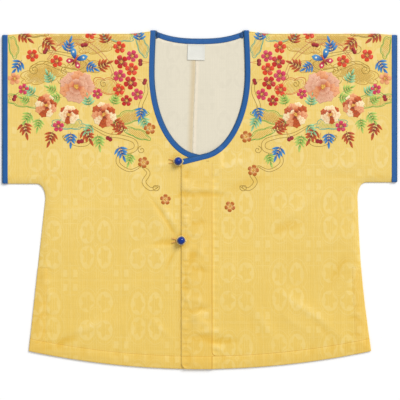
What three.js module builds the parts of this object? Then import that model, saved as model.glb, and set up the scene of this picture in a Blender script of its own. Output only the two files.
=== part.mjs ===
// A short-sleeved jacket with a deep round neck, laid flat and buttoned, face up.
//
// It is cut in two halves. Each half is one length of cloth that runs from the back hem, over the
// shoulder fold and down to the front hem, with its sleeve cut in one with it. The halves are joined
// down the centre back, and the wearer's left front laps over the right one. A back lining, blue
// bindings, a label and two ball buttons with cord loops finish it.
//
// Millimetres. +X is the wearer's left, +Y runs from hem to neck, +Z is up from the surface that the
// jacket lies on. The origin is at the middle of the outline, on that surface.
// Each half is drawn in "across, along": across is the distance from the centre line towards its own
// cuff, negative past the centre, and along is Y.

import * as THREE from "three";

// ---- Driving sizes ----
const SPAN = 680; // cuff to cuff
const LENGTH = 583; // neck point to the lowest point of the hem
const CLOTH = 1.2; // wall of the outer cloth
const LINING = 1; // wall of the lining
const SEAM_GAP = 0.3; // between pieces that are sewn together or lie on each other
const BINDING_WIDTH = 8.6;
const BINDING = 1.6; // wall of a binding, folded double
const BINDING_SHORT = 3.2; // a front binding ends this far from the front edge

const TOP = LENGTH / 2;
const NECK_POINT = 84; // across, where neckline and shoulder fold meet
const NECK_POINT_RISE = 2; // the binding's fold stands above the cloth's
const SHOULDER = TOP - 6; // along, of the shoulder fold between neck and cuff
const SHOULDER_RISES = { from: 118, over: 34 }; // across, towards the neck point
const SHOULDER_FALLS = { from: 300, over: 40, drop: 2 }; // across, towards the cuff

// ---- Neckline: the cloth's edge, outside the binding ----
const NECK_HALF_WIDTH = 86.5;
const NECK_SIDE_BEND = 245; // along, where the side starts to lean in to the neck point
const NECK_ROUND_FROM = 217; // where the straight sides turn into the round
const NECK_ROUND_DEPTH = 147.5;
const NECK_LINE_FROM = 12.5; // from here it runs straight down to the front edge
const BACK_NECK = { middle: 268.5, rise: 12.5, halfWidth: 75, power: 2.6 };
const BACK_NECK_SHARES = [0, 0.2, 0.4, 0.6, 0.8, 1]; // of the way from the centre to the neck point

// ---- Hem and hem turn-up ----
const HEM_RISE = 30.9; // how much higher the hem is at the side seam than at the centre
const HEM_HALF_WIDTH = 294.5;
const HEM_TURN = 22;
const HEM_EXTRA = 0.4; // the turned-up hem is a little thicker
const FRONT_CORNER = 10; // radius of the lower front corner

// ---- What differs between the halves ----
const HALVES = {
  right: {
    sign: -1, underarm: 265.5, hemCorner: 294, sideHollow: 0, sleeveBottom: 27.5, frontEdge: -19.4, lap: 0,
  },
  left: {
    sign: 1, underarm: 271.5, hemCorner: 295, sideHollow: 4.5, sleeveBottom: 30, frontEdge: -31.4, lap: 1,
  },
};
const ARMPIT = { width: 14.6, height: 26 }; // the rounded corner between sleeve and side

// ---- Heights of the layers ----
const LINING_AT = CLOTH + SEAM_GAP;
const FRONT_AT = LINING_AT + LINING + SEAM_GAP; // underside of the fronts over the lining
const FRONT_AT_EDGE = CLOTH + SEAM_GAP; // and where a front is sewn to the back
const LAP_LIFT = BINDING + SEAM_GAP; // the left front over the right front
const LAP_STEP = { from: 22, to: 34 }; // across the left half, where it steps up over the right
const LAP_STEP_AT_NECK = { shift: 14, from: 35, over: 20 }; // further out over the right neck binding
const ROLL = 12; // width over which an edge rolls down to the back
// The swells below die out towards these edges, over these widths.
const CALM = { edge: 45, cuff: 60, fold: 45, neck: 40 };
const CALM_NECK = { along: 190, radius: 84, stretch: 0.6 }; // the oval round the neck opening

// ---- Soft swells and creases of the fronts, as they lie ----
// x, y: middle; turn: direction of the crease in degrees; long, wide: reach; high: height
const FOLDS = [
  { x: -190, y: -70, turn: 4, long: 150, wide: 55, high: 0.9 },
  { x: 150, y: -60, turn: 28, long: 120, wide: 38, high: 1.1 },
  { x: 190, y: -205, turn: -34, long: 75, wide: 24, high: 1.3 },
  { x: -175, y: -225, turn: 24, long: 70, wide: 24, high: 1.1 },
  { x: 95, y: -215, turn: -70, long: 60, wide: 26, high: 0.9 },
  { x: -75, y: -25, turn: -58, long: 60, wide: 20, high: 1.0 },
  { x: -85, y: -95, turn: 38, long: 55, wide: 20, high: 0.8 },
  { x: 40, y: 40, turn: 3, long: 60, wide: 18, high: 0.8 },
  { x: 5, y: -185, turn: 80, long: 70, wide: 22, high: 0.8 },
  { x: -250, y: 120, turn: 80, long: 90, wide: 35, high: 0.7 },
  { x: 250, y: 110, turn: -75, long: 90, wide: 35, high: 0.7 },
  { x: -120, y: 190, turn: 60, long: 80, wide: 35, high: 0.6 },
  { x: 125, y: 180, turn: -60, long: 80, wide: 35, high: 0.6 },
];

// ---- How finely the cloth is divided ----
const EDGE_STEPS = [0, 5, 13]; // columns beside the side seam, by distance from it
const FACING_STEPS = [66, 59, 51, 34, 17, 0]; // columns beside the front edge or centre back
const MIDDLE_CELLS = 7;
const BACK_ROWS = [0, 0.1, 0.35, 0.65]; // of a back, from the hem to the armpit
const BACK_SLEEVE_ROWS = [0, 0.35, 0.7]; // from the armpit to the row that ends at the back neck
const BACK_NECK_FOOT = 190; // along, at the side, of that row
const NECK_ROWS = 13; // rows of a front beside the neckline
const CHEST_ROWS = [0.35, 0.72, 1]; // from the neckline's end to the armpit
const BODY_ROWS = 11; // rows of a front below the armpit
const HEM_ROWS = [HEM_TURN + 4, HEM_TURN, FRONT_CORNER, 3, 0]; // above the hem
const SLEEVE_COLUMNS = [1, 0.72, 0.45, 0.2]; // of the sleeve's width outside the armpit
const ARMPIT_COLUMNS = [1, 0.6, 0.3, 0.08]; // of the armpit's width
const FOLD_ANGLES = [-60, -20, 20, 60]; // the shoulder fold's own rows, in degrees

// ---- Buttons, their cords and the loops round them ----
const BALL_RADIUS = 6.5;
const BALL_FOOT = 2; // radius of the flat that it stands on
const CORD_RADIUS = 1;
const LOOP_RADIUS = 7.5; // middle of the cord, round the ball
const CORD_TAILS = { bend: 6.5, reach: 16, spread: 3.6 }; // from the ball's middle, towards the right
const BUTTONS = {
  top: { x: -36.9, y: 65.9, onLap: 0 }, // stands on the right front
  lower: { x: -31.7, y: -70.3, onLap: 1 }, // stands on the left front's edge
};
const BUTTON_CALM = { from: 18, over: 30 }; // the cloth lies flat round a button

const LINING_SEAM = { x: -7, lean: -5.5, over: 195 };
const LINING_INSET = ROLL + 6; // from the sewn edges
const LINING_UNDER_SHOULDER = 6;
const LABEL = { x: -6, y: 253.5, width: 30, height: 27, thick: 1, turn: -0.03 };

const smooth = (t) => {
  const s = Math.min(1, Math.max(0, t));
  return s * s * (3 - 2 * s);
};
const mix = (a, b, t) => a + (b - a) * t;
const radians = (degrees) => (degrees * Math.PI) / 180;

// ---- Outlines, in "across, along" ----
const hemAt = (across) => -LENGTH / 2 + HEM_RISE * (across / HEM_HALF_WIDTH) ** 2;

// The shoulder fold rises a little to the neck point and falls a little to the cuff.
function shoulderAt(across) {
  const rise = TOP - NECK_POINT_RISE - SHOULDER;
  const toNeck = rise * smooth((SHOULDER_RISES.from - across) / SHOULDER_RISES.over);
  const toCuff = SHOULDER_FALLS.drop * smooth((across - SHOULDER_FALLS.from) / SHOULDER_FALLS.over);
  return SHOULDER + toNeck - toCuff;
}

function neckEdge(half) {
  const curve = new THREE.CurvePath();
  const point = (across, along) => new THREE.Vector2(across, along);
  const top = point(NECK_POINT, shoulderAt(NECK_POINT) - foldRadius());
  const turn = point(NECK_HALF_WIDTH, NECK_ROUND_FROM);
  curve.add(new THREE.QuadraticBezierCurve(top, point(NECK_HALF_WIDTH, NECK_SIDE_BEND), turn));
  const lineAngle = Math.asin(NECK_LINE_FROM / NECK_HALF_WIDTH);
  const round = new THREE.EllipseCurve(
    0, NECK_ROUND_FROM, NECK_HALF_WIDTH, NECK_ROUND_DEPTH, 0, -Math.PI / 2 + lineAngle, true,
  );
  curve.add(round);
  const start = round.getPoint(1);
  const slope = (NECK_ROUND_DEPTH / NECK_HALF_WIDTH) * Math.tan(lineAngle);
  const end = point(half.frontEdge, start.y - slope * (start.x - half.frontEdge));
  curve.add(new THREE.LineCurve(start, end));
  return curve;
}

const armpit = (half) => ({
  across: half.underarm + ARMPIT.width,
  along: half.sleeveBottom - ARMPIT.height,
});

function sleeveBottomAt(half, across) {
  const corner = armpit(half);
  const inside = Math.max(0, corner.across - across) / ARMPIT.width;
  return corner.along + ARMPIT.height * Math.sqrt(Math.max(0, 1 - inside * inside));
}

const sideAt = (half, along) => {
  const from = armpit(half).along;
  const to = hemAt(half.hemCorner);
  const t = (from - along) / (from - to);
  return mix(half.underarm, half.hemCorner, t) - half.sideHollow * Math.sin(Math.PI * t);
};

// The back neckline from the centre out, starting on the half's side of the centre seam.
function backNeckPoints() {
  const { middle, rise, halfWidth, power } = BACK_NECK;
  return BACK_NECK_SHARES.map((share) => {
    const across = mix(SEAM_GAP / 2, NECK_POINT, share);
    const along = middle + rise * (across / halfWidth) ** power;
    return [across, share < 1 ? along : shoulderAt(NECK_POINT) - foldRadius()];
  });
}

// The sewn or hemmed outline of a half: under the sleeve, round the armpit, down the side and hem.
function outline(half) {
  const corner = armpit(half);
  const points = [];
  for (let k = 0; k <= 6; k++) points.push([mix(SPAN / 2, corner.across, k / 6), half.sleeveBottom]);
  for (let k = 1; k <= 6; k++) {
    const angle = (k / 6) * (Math.PI / 2);
    points.push([
      corner.across - ARMPIT.width * Math.sin(angle),
      corner.along + ARMPIT.height * Math.cos(angle),
    ]);
  }
  for (let k = 1; k <= 6; k++) {
    const along = mix(corner.along, hemAt(half.hemCorner), k / 6);
    points.push([sideAt(half, along), along]);
  }
  for (let k = 1; k <= 16; k++) {
    const across = mix(half.hemCorner, half.frontEdge, k / 16);
    points.push([across, hemAt(across)]);
  }
  return points;
}

function distanceTo(points, across, along) {
  let least = Infinity;
  for (let i = 1; i < points.length; i++) {
    const [ax, ay] = points[i - 1];
    const [bx, by] = points[i];
    const [dx, dy] = [bx - ax, by - ay];
    const t = Math.min(1, Math.max(0, ((across - ax) * dx + (along - ay) * dy) / (dx * dx + dy * dy)));
    least = Math.min(least, Math.hypot(across - ax - t * dx, along - ay - t * dy));
  }
  return least;
}

// ---- Heights ----
const foldRadius = () => (FRONT_AT + CLOTH) / 2;

function swell(x, y) {
  let high = 0;
  for (const fold of FOLDS) {
    const turn = radians(fold.turn);
    const [dx, dy] = [x - fold.x, y - fold.y];
    const run = (dx * Math.cos(turn) + dy * Math.sin(turn)) / fold.long;
    const off = (dy * Math.cos(turn) - dx * Math.sin(turn)) / fold.wide;
    high += fold.high * Math.exp(-run * run - off * off);
  }
  return high;
}

// Underside of the cloth that lies on the lining, before any lap.
function restAt(half, edge, across, along) {
  const toEdge = distanceTo(edge, across, along);
  const toCuff = SPAN / 2 - across;
  const toFold = shoulderAt(across) - along;
  const toNeck = Math.hypot(across, (along - CALM_NECK.along) * CALM_NECK.stretch) - CALM_NECK.radius;
  const calm = smooth(toEdge / CALM.edge) * smooth(toCuff / CALM.cuff) * smooth(toFold / CALM.fold);
  const byNeck = smooth(toNeck / CALM.neck);
  const flat = mix(FRONT_AT_EDGE, FRONT_AT, smooth(toEdge / ROLL));
  const x = half.sign * across;
  return flat + swell(x, along) * calm * byNeck * awayFromButtons(x, along);
}

function awayFromButtons(x, y) {
  const distances = Object.values(BUTTONS).map((button) => Math.hypot(x - button.x, y - button.y));
  return smooth((Math.min(...distances) - BUTTON_CALM.from) / BUTTON_CALM.over);
}

function lapAt(half, across, along) {
  const { shift, from, over } = LAP_STEP_AT_NECK;
  const out = shift * smooth((along - from) / over);
  return half.lap * LAP_LIFT * smooth((LAP_STEP.to + out - across) / (LAP_STEP.to - LAP_STEP.from));
}

const undersideAt = (half, edge, across, along) =>
  restAt(half, edge, across, along) + lapAt(half, across, along);

// ---- Walls ----
// A closed wall over a net of four-sided cells: each corner has a point on the outside and one inside.
function wallGeometry(outside, inside, cells) {
  const count = outside.length;
  const position = new Float32Array(count * 6);
  outside.forEach((p, i) => position.set([p.x, p.y, p.z], 3 * i));
  inside.forEach((p, i) => position.set([p.x, p.y, p.z], 3 * (count + i)));
  const index = [];
  const quad = (a, b, c, d) => index.push(a, b, c, a, c, d);
  const sides = new Map();
  for (const cell of cells) {
    // A cell is split along its shorter diagonal, outside and inside alike.
    const [a, b, c, d] = cell;
    const split = outside[a].distanceTo(outside[c]) <= outside[b].distanceTo(outside[d]);
    const [p, q, r, s] = split ? [a, b, c, d] : [b, c, d, a];
    quad(p, q, r, s);
    quad(p + count, s + count, r + count, q + count);
    cell.forEach((a, k) => {
      const b = cell[(k + 1) % 4];
      if (!sides.delete(`${b},${a}`)) sides.set(`${a},${b}`, [a, b]);
    });
  }
  for (const [a, b] of sides.values()) quad(b, a, a + count, b + count);
  const geometry = new THREE.BufferGeometry();
  geometry.setAttribute("position", new THREE.BufferAttribute(position, 3));
  geometry.setIndex(index);
  return geometry;
}

// Turns a net drawn for one half so that its outside faces out on either side of the body.
const facing = (half, cells) => (half.sign < 0 ? cells : cells.map((cell) => [...cell].reverse()));

// ---- The halves ----
// Rows of a front, from shoulder to hem: where each starts at the side and ends at the inner edge.
function frontRows(half) {
  const neck = neckEdge(half);
  const neckEnd = neck.getPointAt(1);
  const from = armpit(half).along;
  const rows = [];
  const top = shoulderAt(half.underarm) - foldRadius();
  for (let j = 0; j <= NECK_ROWS; j++) {
    const at = neck.getPointAt(j / NECK_ROWS);
    const side = mix(top, neckEnd.y, j / NECK_ROWS);
    rows.push({ side: [half.underarm, side], inner: [at.x, at.y], toHem: 0 });
  }
  for (const t of CHEST_ROWS) {
    const along = mix(neckEnd.y, from, t);
    rows.push({ side: [half.underarm, along], inner: [half.frontEdge, along], toHem: 0 });
  }
  const bottomSide = hemAt(half.hemCorner);
  const bottomInner = hemAt(half.frontEdge);
  const sideDrop = from - bottomSide;
  const steps = [];
  for (let j = 1; j <= BODY_ROWS; j++) steps.push(mix(sideDrop, HEM_ROWS[0], j / BODY_ROWS));
  for (const above of [...steps, ...HEM_ROWS.slice(1)]) {
    const along = bottomSide + above;
    const t = 1 - above / sideDrop;
    const innerAlong = mix(from, bottomInner, t);
    const cut = Math.max(0, FRONT_CORNER - above);
    const round = FRONT_CORNER - Math.sqrt(FRONT_CORNER ** 2 - cut ** 2);
    const innerAbove = above <= HEM_ROWS[0] ? bottomInner + above : innerAlong;
    rows.push({
      side: [sideAt(half, along), along],
      inner: [half.frontEdge + round, innerAbove],
      toHem: t,
      above,
    });
  }
  return rows;
}

// Rows of a back, from hem to shoulder.
function backRows(half) {
  const from = armpit(half).along;
  const bottomSide = hemAt(half.hemCorner);
  const seam = SEAM_GAP / 2;
  const rows = [];
  for (const t of BACK_ROWS) {
    const along = mix(bottomSide, from, t);
    const inner = mix(hemAt(0), from, t);
    rows.push({ side: [sideAt(half, along), along], inner: [seam, inner], toHem: 1 - t });
  }
  for (const t of BACK_SLEEVE_ROWS) {
    const side = mix(from, BACK_NECK_FOOT, t);
    rows.push({ side: [half.underarm, side], inner: [seam, mix(from, BACK_NECK.middle, t)], toHem: 0 });
  }
  const top = shoulderAt(half.underarm) - foldRadius();
  backNeckPoints().forEach((inner, k) => {
    rows.push({ side: [half.underarm, mix(BACK_NECK_FOOT, top, BACK_NECK_SHARES[k])], inner, toHem: 0 });
  });
  return rows;
}

// The columns of a row, as shares of the way from the side to the inner edge.
function columnShares(width) {
  const shares = EDGE_STEPS.map((d) => d / width);
  const start = EDGE_STEPS[EDGE_STEPS.length - 1];
  const end = width - FACING_STEPS[0];
  for (let k = 1; k < MIDDLE_CELLS; k++) shares.push(mix(start, end, k / MIDDLE_CELLS) / width);
  return [...shares, ...FACING_STEPS.map((d) => 1 - d / width)];
}

function rowPoints(row) {
  const [sideAcross, sideAlong] = row.side;
  const [innerAcross, innerAlong] = row.inner;
  return columnShares(sideAcross - innerAcross).map((share) => {
    const across = mix(sideAcross, innerAcross, share);
    const straight = mix(sideAlong, innerAlong, share);
    const hemLine = hemAt(across) + (row.above ?? 0); // rows near the hem run parallel to it
    return { across, along: mix(straight, hemLine, smooth(row.toHem)) };
  });
}

// Points across the shoulder fold at one angle: -90 is on the back and 90 on the front.
function foldPair(half, across, degrees) {
  const radius = foldRadius();
  const inner = radius - CLOTH;
  const angle = radians(degrees);
  const along = shoulderAt(across) - radius;
  const at = (r) =>
    new THREE.Vector3(half.sign * across, along + r * Math.cos(angle), radius + r * Math.sin(angle));
  return { outside: at(radius), inside: at(inner) };
}

function halfGeometry(half) {
  const edge = outline(half);
  const outside = [];
  const inside = [];
  const add = (pair) => {
    outside.push(pair.outside);
    return inside.push(pair.inside) - 1;
  };
  const point = (across, along, z) => new THREE.Vector3(half.sign * across, along, z);
  const onBack = ({ across, along }) => ({
    outside: point(across, along, 0),
    inside: point(across, along, CLOTH),
  });
  const onFront = ({ across, along }) => {
    const under = undersideAt(half, edge, across, along);
    const turned = along - hemAt(across) < HEM_TURN + 1 ? HEM_EXTRA : 0;
    return {
      outside: point(across, along, under + CLOTH + turned),
      inside: point(across, along, under),
    };
  };

  // Body: every row runs from the side to the inner edge, back hem first.
  const back = backRows(half);
  const front = frontRows(half);
  const body = [];
  for (const row of back) body.push(rowPoints(row).map((p) => add(onBack(p))));
  const topRow = rowPoints(back[back.length - 1]);
  for (const angle of FOLD_ANGLES) body.push(topRow.map((p) => add(foldPair(half, p.across, angle))));
  for (const row of front) body.push(rowPoints(row).map((p) => add(onFront(p))));
  // The top rows of back and front follow the shoulder line.
  const level = (row, z) => row.forEach((i) => {
    const across = Math.abs(outside[i].x);
    outside[i].y = inside[i].y = shoulderAt(across) - foldRadius();
    [outside[i].z, inside[i].z] = z;
  });
  level(body[back.length - 1], [0, CLOTH]);
  level(body[back.length + FOLD_ANGLES.length], [FRONT_AT + CLOTH, FRONT_AT]);

  // Sleeve: columns from the cuff to the underarm, sharing the body's outermost column.
  const firstBack = back.findIndex((row) => row.side[1] >= armpit(half).along - 0.01);
  const lastFront = back.length + FOLD_ANGLES.length +
    front.findIndex((row) => row.side[1] <= armpit(half).along + 0.01);
  const cuff = SPAN / 2 - BINDING_WIDTH - SEAM_GAP;
  const corner = armpit(half).across;
  const columns = [
    ...SLEEVE_COLUMNS.map((share) => mix(corner, cuff, share)),
    ...ARMPIT_COLUMNS.map((share) => half.underarm + share * ARMPIT.width),
  ];
  const sleeve = [];
  const shoulderRow = { back: back.length - 1, front: back.length + FOLD_ANGLES.length };
  for (let row = firstBack; row <= lastFront; row++) {
    const shared = outside[body[row][0]];
    const low = armpit(half).along;
    const high = shoulderAt(half.underarm) - foldRadius();
    const share = (shared.y - low) / (high - low);
    const cells = columns.map((across) => {
      if (row > shoulderRow.back && row < shoulderRow.front)
        return add(foldPair(half, across, FOLD_ANGLES[row - shoulderRow.back - 1]));
      const along = mix(sleeveBottomAt(half, across), shoulderAt(across) - foldRadius(), share);
      return add(row <= shoulderRow.back ? onBack({ across, along }) : onFront({ across, along }));
    });
    sleeve.push([...cells, body[row][0]]);
  }

  const cells = [];
  const net = (rows) => {
    for (let j = 1; j < rows.length; j++)
      for (let k = 1; k < rows[j].length; k++)
        cells.push([rows[j - 1][k - 1], rows[j][k - 1], rows[j][k], rows[j - 1][k]]);
  };
  net(body);
  net(sleeve);
  return wallGeometry(outside, inside, facing(half, cells));
}

// ---- Flat pieces and tubes ----
// A plate with the given outline, standing on height z.
function plateGeometry(points, z, thick) {
  const shape = new THREE.Shape(points.map(([x, y]) => new THREE.Vector2(x, y)));
  return new THREE.ExtrudeGeometry(shape, { depth: thick, bevelEnabled: false }).translate(0, 0, z);
}

// A tube through closed sections with the same number of corners, capped unless it is a ring.
function tubeGeometry(sections, ring) {
  const corners = sections[0].length;
  const position = sections.flat().flatMap((p) => [p.x, p.y, p.z]);
  const index = [];
  const spans = ring ? sections.length : sections.length - 1;
  for (let j = 0; j < spans; j++)
    for (let k = 0; k < corners; k++) {
      const [a, b] = [j * corners, ((j + 1) % sections.length) * corners];
      const next = (k + 1) % corners;
      index.push(a + k, b + k, b + next, a + k, b + next, a + next);
    }
  if (!ring)
    for (const [start, flip] of [[0, false], [(sections.length - 1) * corners, true]])
      for (let k = 1; k < corners - 1; k++) {
        const fan = [start, start + k, start + k + 1];
        index.push(...(flip ? fan.reverse() : fan));
      }
  const geometry = new THREE.BufferGeometry();
  geometry.setAttribute("position", new THREE.Float32BufferAttribute(position, 3));
  geometry.setIndex(index);
  return geometry;
}

function turnedOutward(geometry) {
  const p = geometry.getAttribute("position");
  const index = geometry.getIndex().array;
  const corner = (i) => new THREE.Vector3().fromBufferAttribute(p, i);
  let volume = 0;
  for (let i = 0; i < index.length; i += 3)
    volume += corner(index[i]).dot(corner(index[i + 1]).cross(corner(index[i + 2])));
  if (volume < 0) geometry.setIndex([...index].reverse());
  return geometry;
}

// ---- Bindings ----
// The section of a folded strip: across its width, and up from its underside.
const STRIP_SECTION = [
  [0, 0.25], [0, 0.7], [0.14, 0.93], [0.5, 1], [0.86, 0.93], [1, 0.7], [1, 0.25], [0.86, 0], [0.14, 0],
];

const stripSection = (at, across, up, width, thick) =>
  STRIP_SECTION.map(([s, t]) =>
    at.clone().addScaledVector(across, s * width).addScaledVector(up, t * thick));

// Along the neck edge of one front, from its front edge up, and over its shoulder.
function frontBindingGeometry(half) {
  const edge = outline(half);
  const neck = neckEdge(half);
  const up = new THREE.Vector3(0, 0, 1);
  const radius = (FRONT_AT + BINDING) / 2;
  const points = [];
  for (let j = NECK_ROWS; j >= 0; j--) {
    const p = neck.getPointAt(j / NECK_ROWS);
    points.push(new THREE.Vector3(half.sign * p.x, p.y, undersideAt(half, edge, p.x, p.y)));
  }
  // It ends a little short of the front edge.
  points[0].lerp(points[1], BINDING_SHORT / points[0].distanceTo(points[1]));
  const sections = points.map((p, j) => {
    const before = points[Math.max(0, j - 1)];
    const after = points[Math.min(points.length - 1, j + 1)];
    const run = new THREE.Vector3().subVectors(after, before);
    const inward = new THREE.Vector3(-half.sign * run.y, half.sign * run.x, 0).normalize();
    const at = p.clone().addScaledVector(inward, 1.1 * SEAM_GAP);
    return stripSection(at, inward, up, BINDING_WIDTH, BINDING);
  });
  sections.pop();
  const sideways = new THREE.Vector3(-half.sign, 0, 0);
  for (const degrees of [90, 60, 30, 0, -30, -60, -90]) {
    const angle = radians(degrees);
    const out = new THREE.Vector3(0, Math.cos(angle), Math.sin(angle));
    const at = new THREE.Vector3(half.sign * (NECK_POINT - SEAM_GAP), TOP - radius, radius);
    at.addScaledVector(out, radius - BINDING);
    sections.push(stripSection(at, sideways, out, BINDING_WIDTH, BINDING));
  }
  return turnedOutward(tubeGeometry(sections, false));
}

// Along the back neck, round the edges of cloth and lining, between the front bindings' ends.
function backBindingGeometry() {
  const reach = NECK_POINT - BINDING_WIDTH - 2.2 * SEAM_GAP;
  const thick = LINING_AT + LINING + SEAM_GAP;
  const up = new THREE.Vector3(0, 0, 1);
  const along = new THREE.Vector3(0, 1, 0);
  const right = backNeckPoints().slice(1).map(([across, y]) => [-across, y]).reverse();
  const points = [...right, ...backNeckPoints()].map(([x, y]) => new THREE.Vector3(x, y + SEAM_GAP, 0));
  const last = points.length - 1;
  const short = (NECK_POINT - reach) / (points[last].x - points[last - 1].x);
  points[0].lerp(points[1], short);
  points[last].lerp(points[last - 1], short);
  const sections = points.map((at) => stripSection(at, along, up, BINDING_WIDTH, thick));
  return turnedOutward(tubeGeometry(sections, false));
}

// Round the sleeve's opening, pressed flat: front, fold, back, fold.
function cuffBindingGeometry(half) {
  const radius = (FRONT_AT + BINDING) / 2;
  const top = shoulderAt(SPAN / 2) - radius;
  const bottom = half.sleeveBottom + radius;
  const start = new THREE.Vector3(half.sign * (SPAN / 2 - BINDING_WIDTH), 0, radius);
  const outwards = new THREE.Vector3(half.sign, 0, 0);
  const sections = [];
  const addAt = (y, degrees) => {
    const angle = radians(degrees);
    const out = new THREE.Vector3(0, Math.cos(angle), Math.sin(angle));
    const at = start.clone().setY(y).addScaledVector(out, radius - BINDING);
    sections.push(stripSection(at, outwards, out, BINDING_WIDTH, BINDING));
  };
  const straight = [0, 0.25, 0.5, 0.75, 1];
  for (const t of straight) addAt(mix(bottom, top, t), 90);
  for (const degrees of [45, 0, -45]) addAt(top, degrees);
  for (const t of straight) addAt(mix(top, bottom, t), -90);
  for (const degrees of [-135, 180, 135]) addAt(bottom, degrees);
  return turnedOutward(tubeGeometry(sections, true));
}

// ---- Lining of the back ----
// X of the lining's centre seam, which leans off the middle
const liningSeam = (y) =>
  LINING_SEAM.x + LINING_SEAM.lean * smooth((BACK_NECK.middle - y) / LINING_SEAM.over);

function liningGeometry(half) {
  const neckPoints = backNeckPoints();
  const points = [];
  for (const t of [0, 0.25, 0.5, 0.75, 1]) {
    const y = mix(hemAt(0) + HEM_TURN, BACK_NECK.middle - 0.2, t);
    points.push([liningSeam(y) + half.sign * (SEAM_GAP / 2), y]);
  }
  for (const [across, along] of neckPoints.slice(1)) points.push([half.sign * across, along - 0.2]);
  const cuff = SPAN / 2 - BINDING_WIDTH - LINING_UNDER_SHOULDER;
  for (const across of [SHOULDER_RISES.from, SHOULDER_FALLS.from, cuff])
    points.push([half.sign * across, shoulderAt(across) - LINING_UNDER_SHOULDER]);
  points.push([half.sign * cuff, half.sleeveBottom + LINING_INSET]);
  const corner = armpit(half);
  for (const degrees of [0, 30, 60, 90]) {
    const angle = radians(degrees);
    points.push([
      half.sign * (corner.across - (ARMPIT.width + LINING_INSET) * Math.sin(angle)),
      corner.along + (ARMPIT.height + LINING_INSET) * Math.cos(angle),
    ]);
  }
  const low = hemAt(half.hemCorner) + HEM_TURN;
  points.push([half.sign * (sideAt(half, low) - LINING_INSET), low]);
  for (const share of [0.66, 0.33]) {
    const across = share * half.hemCorner;
    points.push([half.sign * across, hemAt(across) + HEM_TURN]);
  }
  return plateGeometry(points, LINING_AT, LINING);
}

// ---- Label ----
function labelGeometry() {
  const [w, h] = [LABEL.width / 2, LABEL.height / 2];
  const points = [[-w, -h], [w, -h], [w, h], [-w, h]];
  return plateGeometry(points, 0, LABEL.thick)
    .rotateZ(LABEL.turn)
    .translate(LABEL.x, LABEL.y, LINING_AT + LINING + SEAM_GAP);
}

// ---- Buttons ----
const frontTop = FRONT_AT + CLOTH;
const lapTop = frontTop + LAP_LIFT;

// A ball that stands on the cloth on a small flat.
function ballGeometry(button) {
  const foot = (button.onLap ? lapTop : frontTop) + SEAM_GAP;
  const join = Math.asin(BALL_FOOT / BALL_RADIUS);
  const middle = BALL_RADIUS * Math.cos(join);
  const steps = 9;
  const profile = [new THREE.Vector2(0, 0)];
  for (let k = 0; k < steps; k++) {
    const angle = mix(join, Math.PI, k / steps);
    profile.push(new THREE.Vector2(BALL_RADIUS * Math.sin(angle), middle - BALL_RADIUS * Math.cos(angle)));
  }
  profile.push(new THREE.Vector2(0, middle + BALL_RADIUS));
  return new THREE.LatheGeometry(profile, 16).rotateX(Math.PI / 2).translate(button.x, button.y, foot);
}

// The cord that holds the ball: it bends under it, and its two tails are sewn to the right front.
function buttonCordGeometry(button) {
  const { bend, reach, spread } = CORD_TAILS;
  const side = 0.55 * spread;
  const route = [
    [-reach, spread], [-reach * 0.7, side * 1.3], [-bend - 2.5, side * 0.9], [-bend, 0],
    [-bend - 2.5, -side * 0.9], [-reach * 0.7, -side * 1.3], [-reach, -spread],
  ];
  const high = frontTop + SEAM_GAP + CORD_RADIUS;
  const path = new THREE.CatmullRomCurve3(
    route.map(([x, y]) => new THREE.Vector3(button.x + x, button.y + y, high)),
  );
  const section = new THREE.Shape(new THREE.EllipseCurve(0, 0, CORD_RADIUS, CORD_RADIUS).getPoints(7));
  return new THREE.ExtrudeGeometry(section, { steps: 14, extrudePath: path });
}

// The loop from the left front's edge, closed round the ball.
function loopGeometry(button) {
  const high = Math.max(
    frontTop + SEAM_GAP + 2 * CORD_RADIUS,
    FRONT_AT + LAP_LIFT + BINDING,
  ) + SEAM_GAP + CORD_RADIUS;
  return new THREE.TorusGeometry(LOOP_RADIUS, CORD_RADIUS, 7, 22).translate(button.x, button.y, high);
}

// ---- The jacket ----
const jacket = new THREE.Group();

const finish = (color, roughness, metalness = 0) =>
  new THREE.MeshStandardMaterial({ color, roughness, metalness });
const YELLOW = finish(0xecce74, 0.6);
const CREAM = finish(0xe6dcc6, 0.8);
const BLUE = finish(0x2f62a4, 0.55);
const WHITE = finish(0xe8e6de, 0.7);
const GLASS = finish(0x1f3f9c, 0.15);
const GOLD = finish(0xf0c870, 0.5);

function place(name, geometry, material) {
  const mesh = new THREE.Mesh(geometry, material);
  mesh.name = name;
  jacket.add(mesh);
}

for (const [side, half] of Object.entries(HALVES)) {
  place(`${side}_half`, halfGeometry(half), YELLOW);
  place(`${side}_back_lining`, liningGeometry(half), CREAM);
  place(`${side}_neck_binding`, frontBindingGeometry(half), BLUE);
  place(`${side}_cuff_binding`, cuffBindingGeometry(half), BLUE);
}
place("back_neck_binding", backBindingGeometry(), BLUE);
place("neck_label", labelGeometry(), WHITE);
for (const [which, button] of Object.entries(BUTTONS)) {
  place(`${which}_button`, ballGeometry(button), GLASS);
  place(`${which}_button_cord`, buttonCordGeometry(button), GOLD);
  place(`${which}_button_loop`, loopGeometry(button), GOLD);
}

export default jacket;
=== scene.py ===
"""Dresses the CAD frame of a short-sleeved, front-overlap hanfu top that lies flat, face up.

Millimetres are used for every size of the cut, as "across, along": across is the distance from the
centre line towards a half's own cuff, and along runs from the hem to the neck. MM turns them into
metres as a mesh is made.
"""

import math
from collections import namedtuple

import bmesh
import bpy
import numpy as np
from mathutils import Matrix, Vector
from mathutils.geometry import delaunay_2d_cdt


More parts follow.
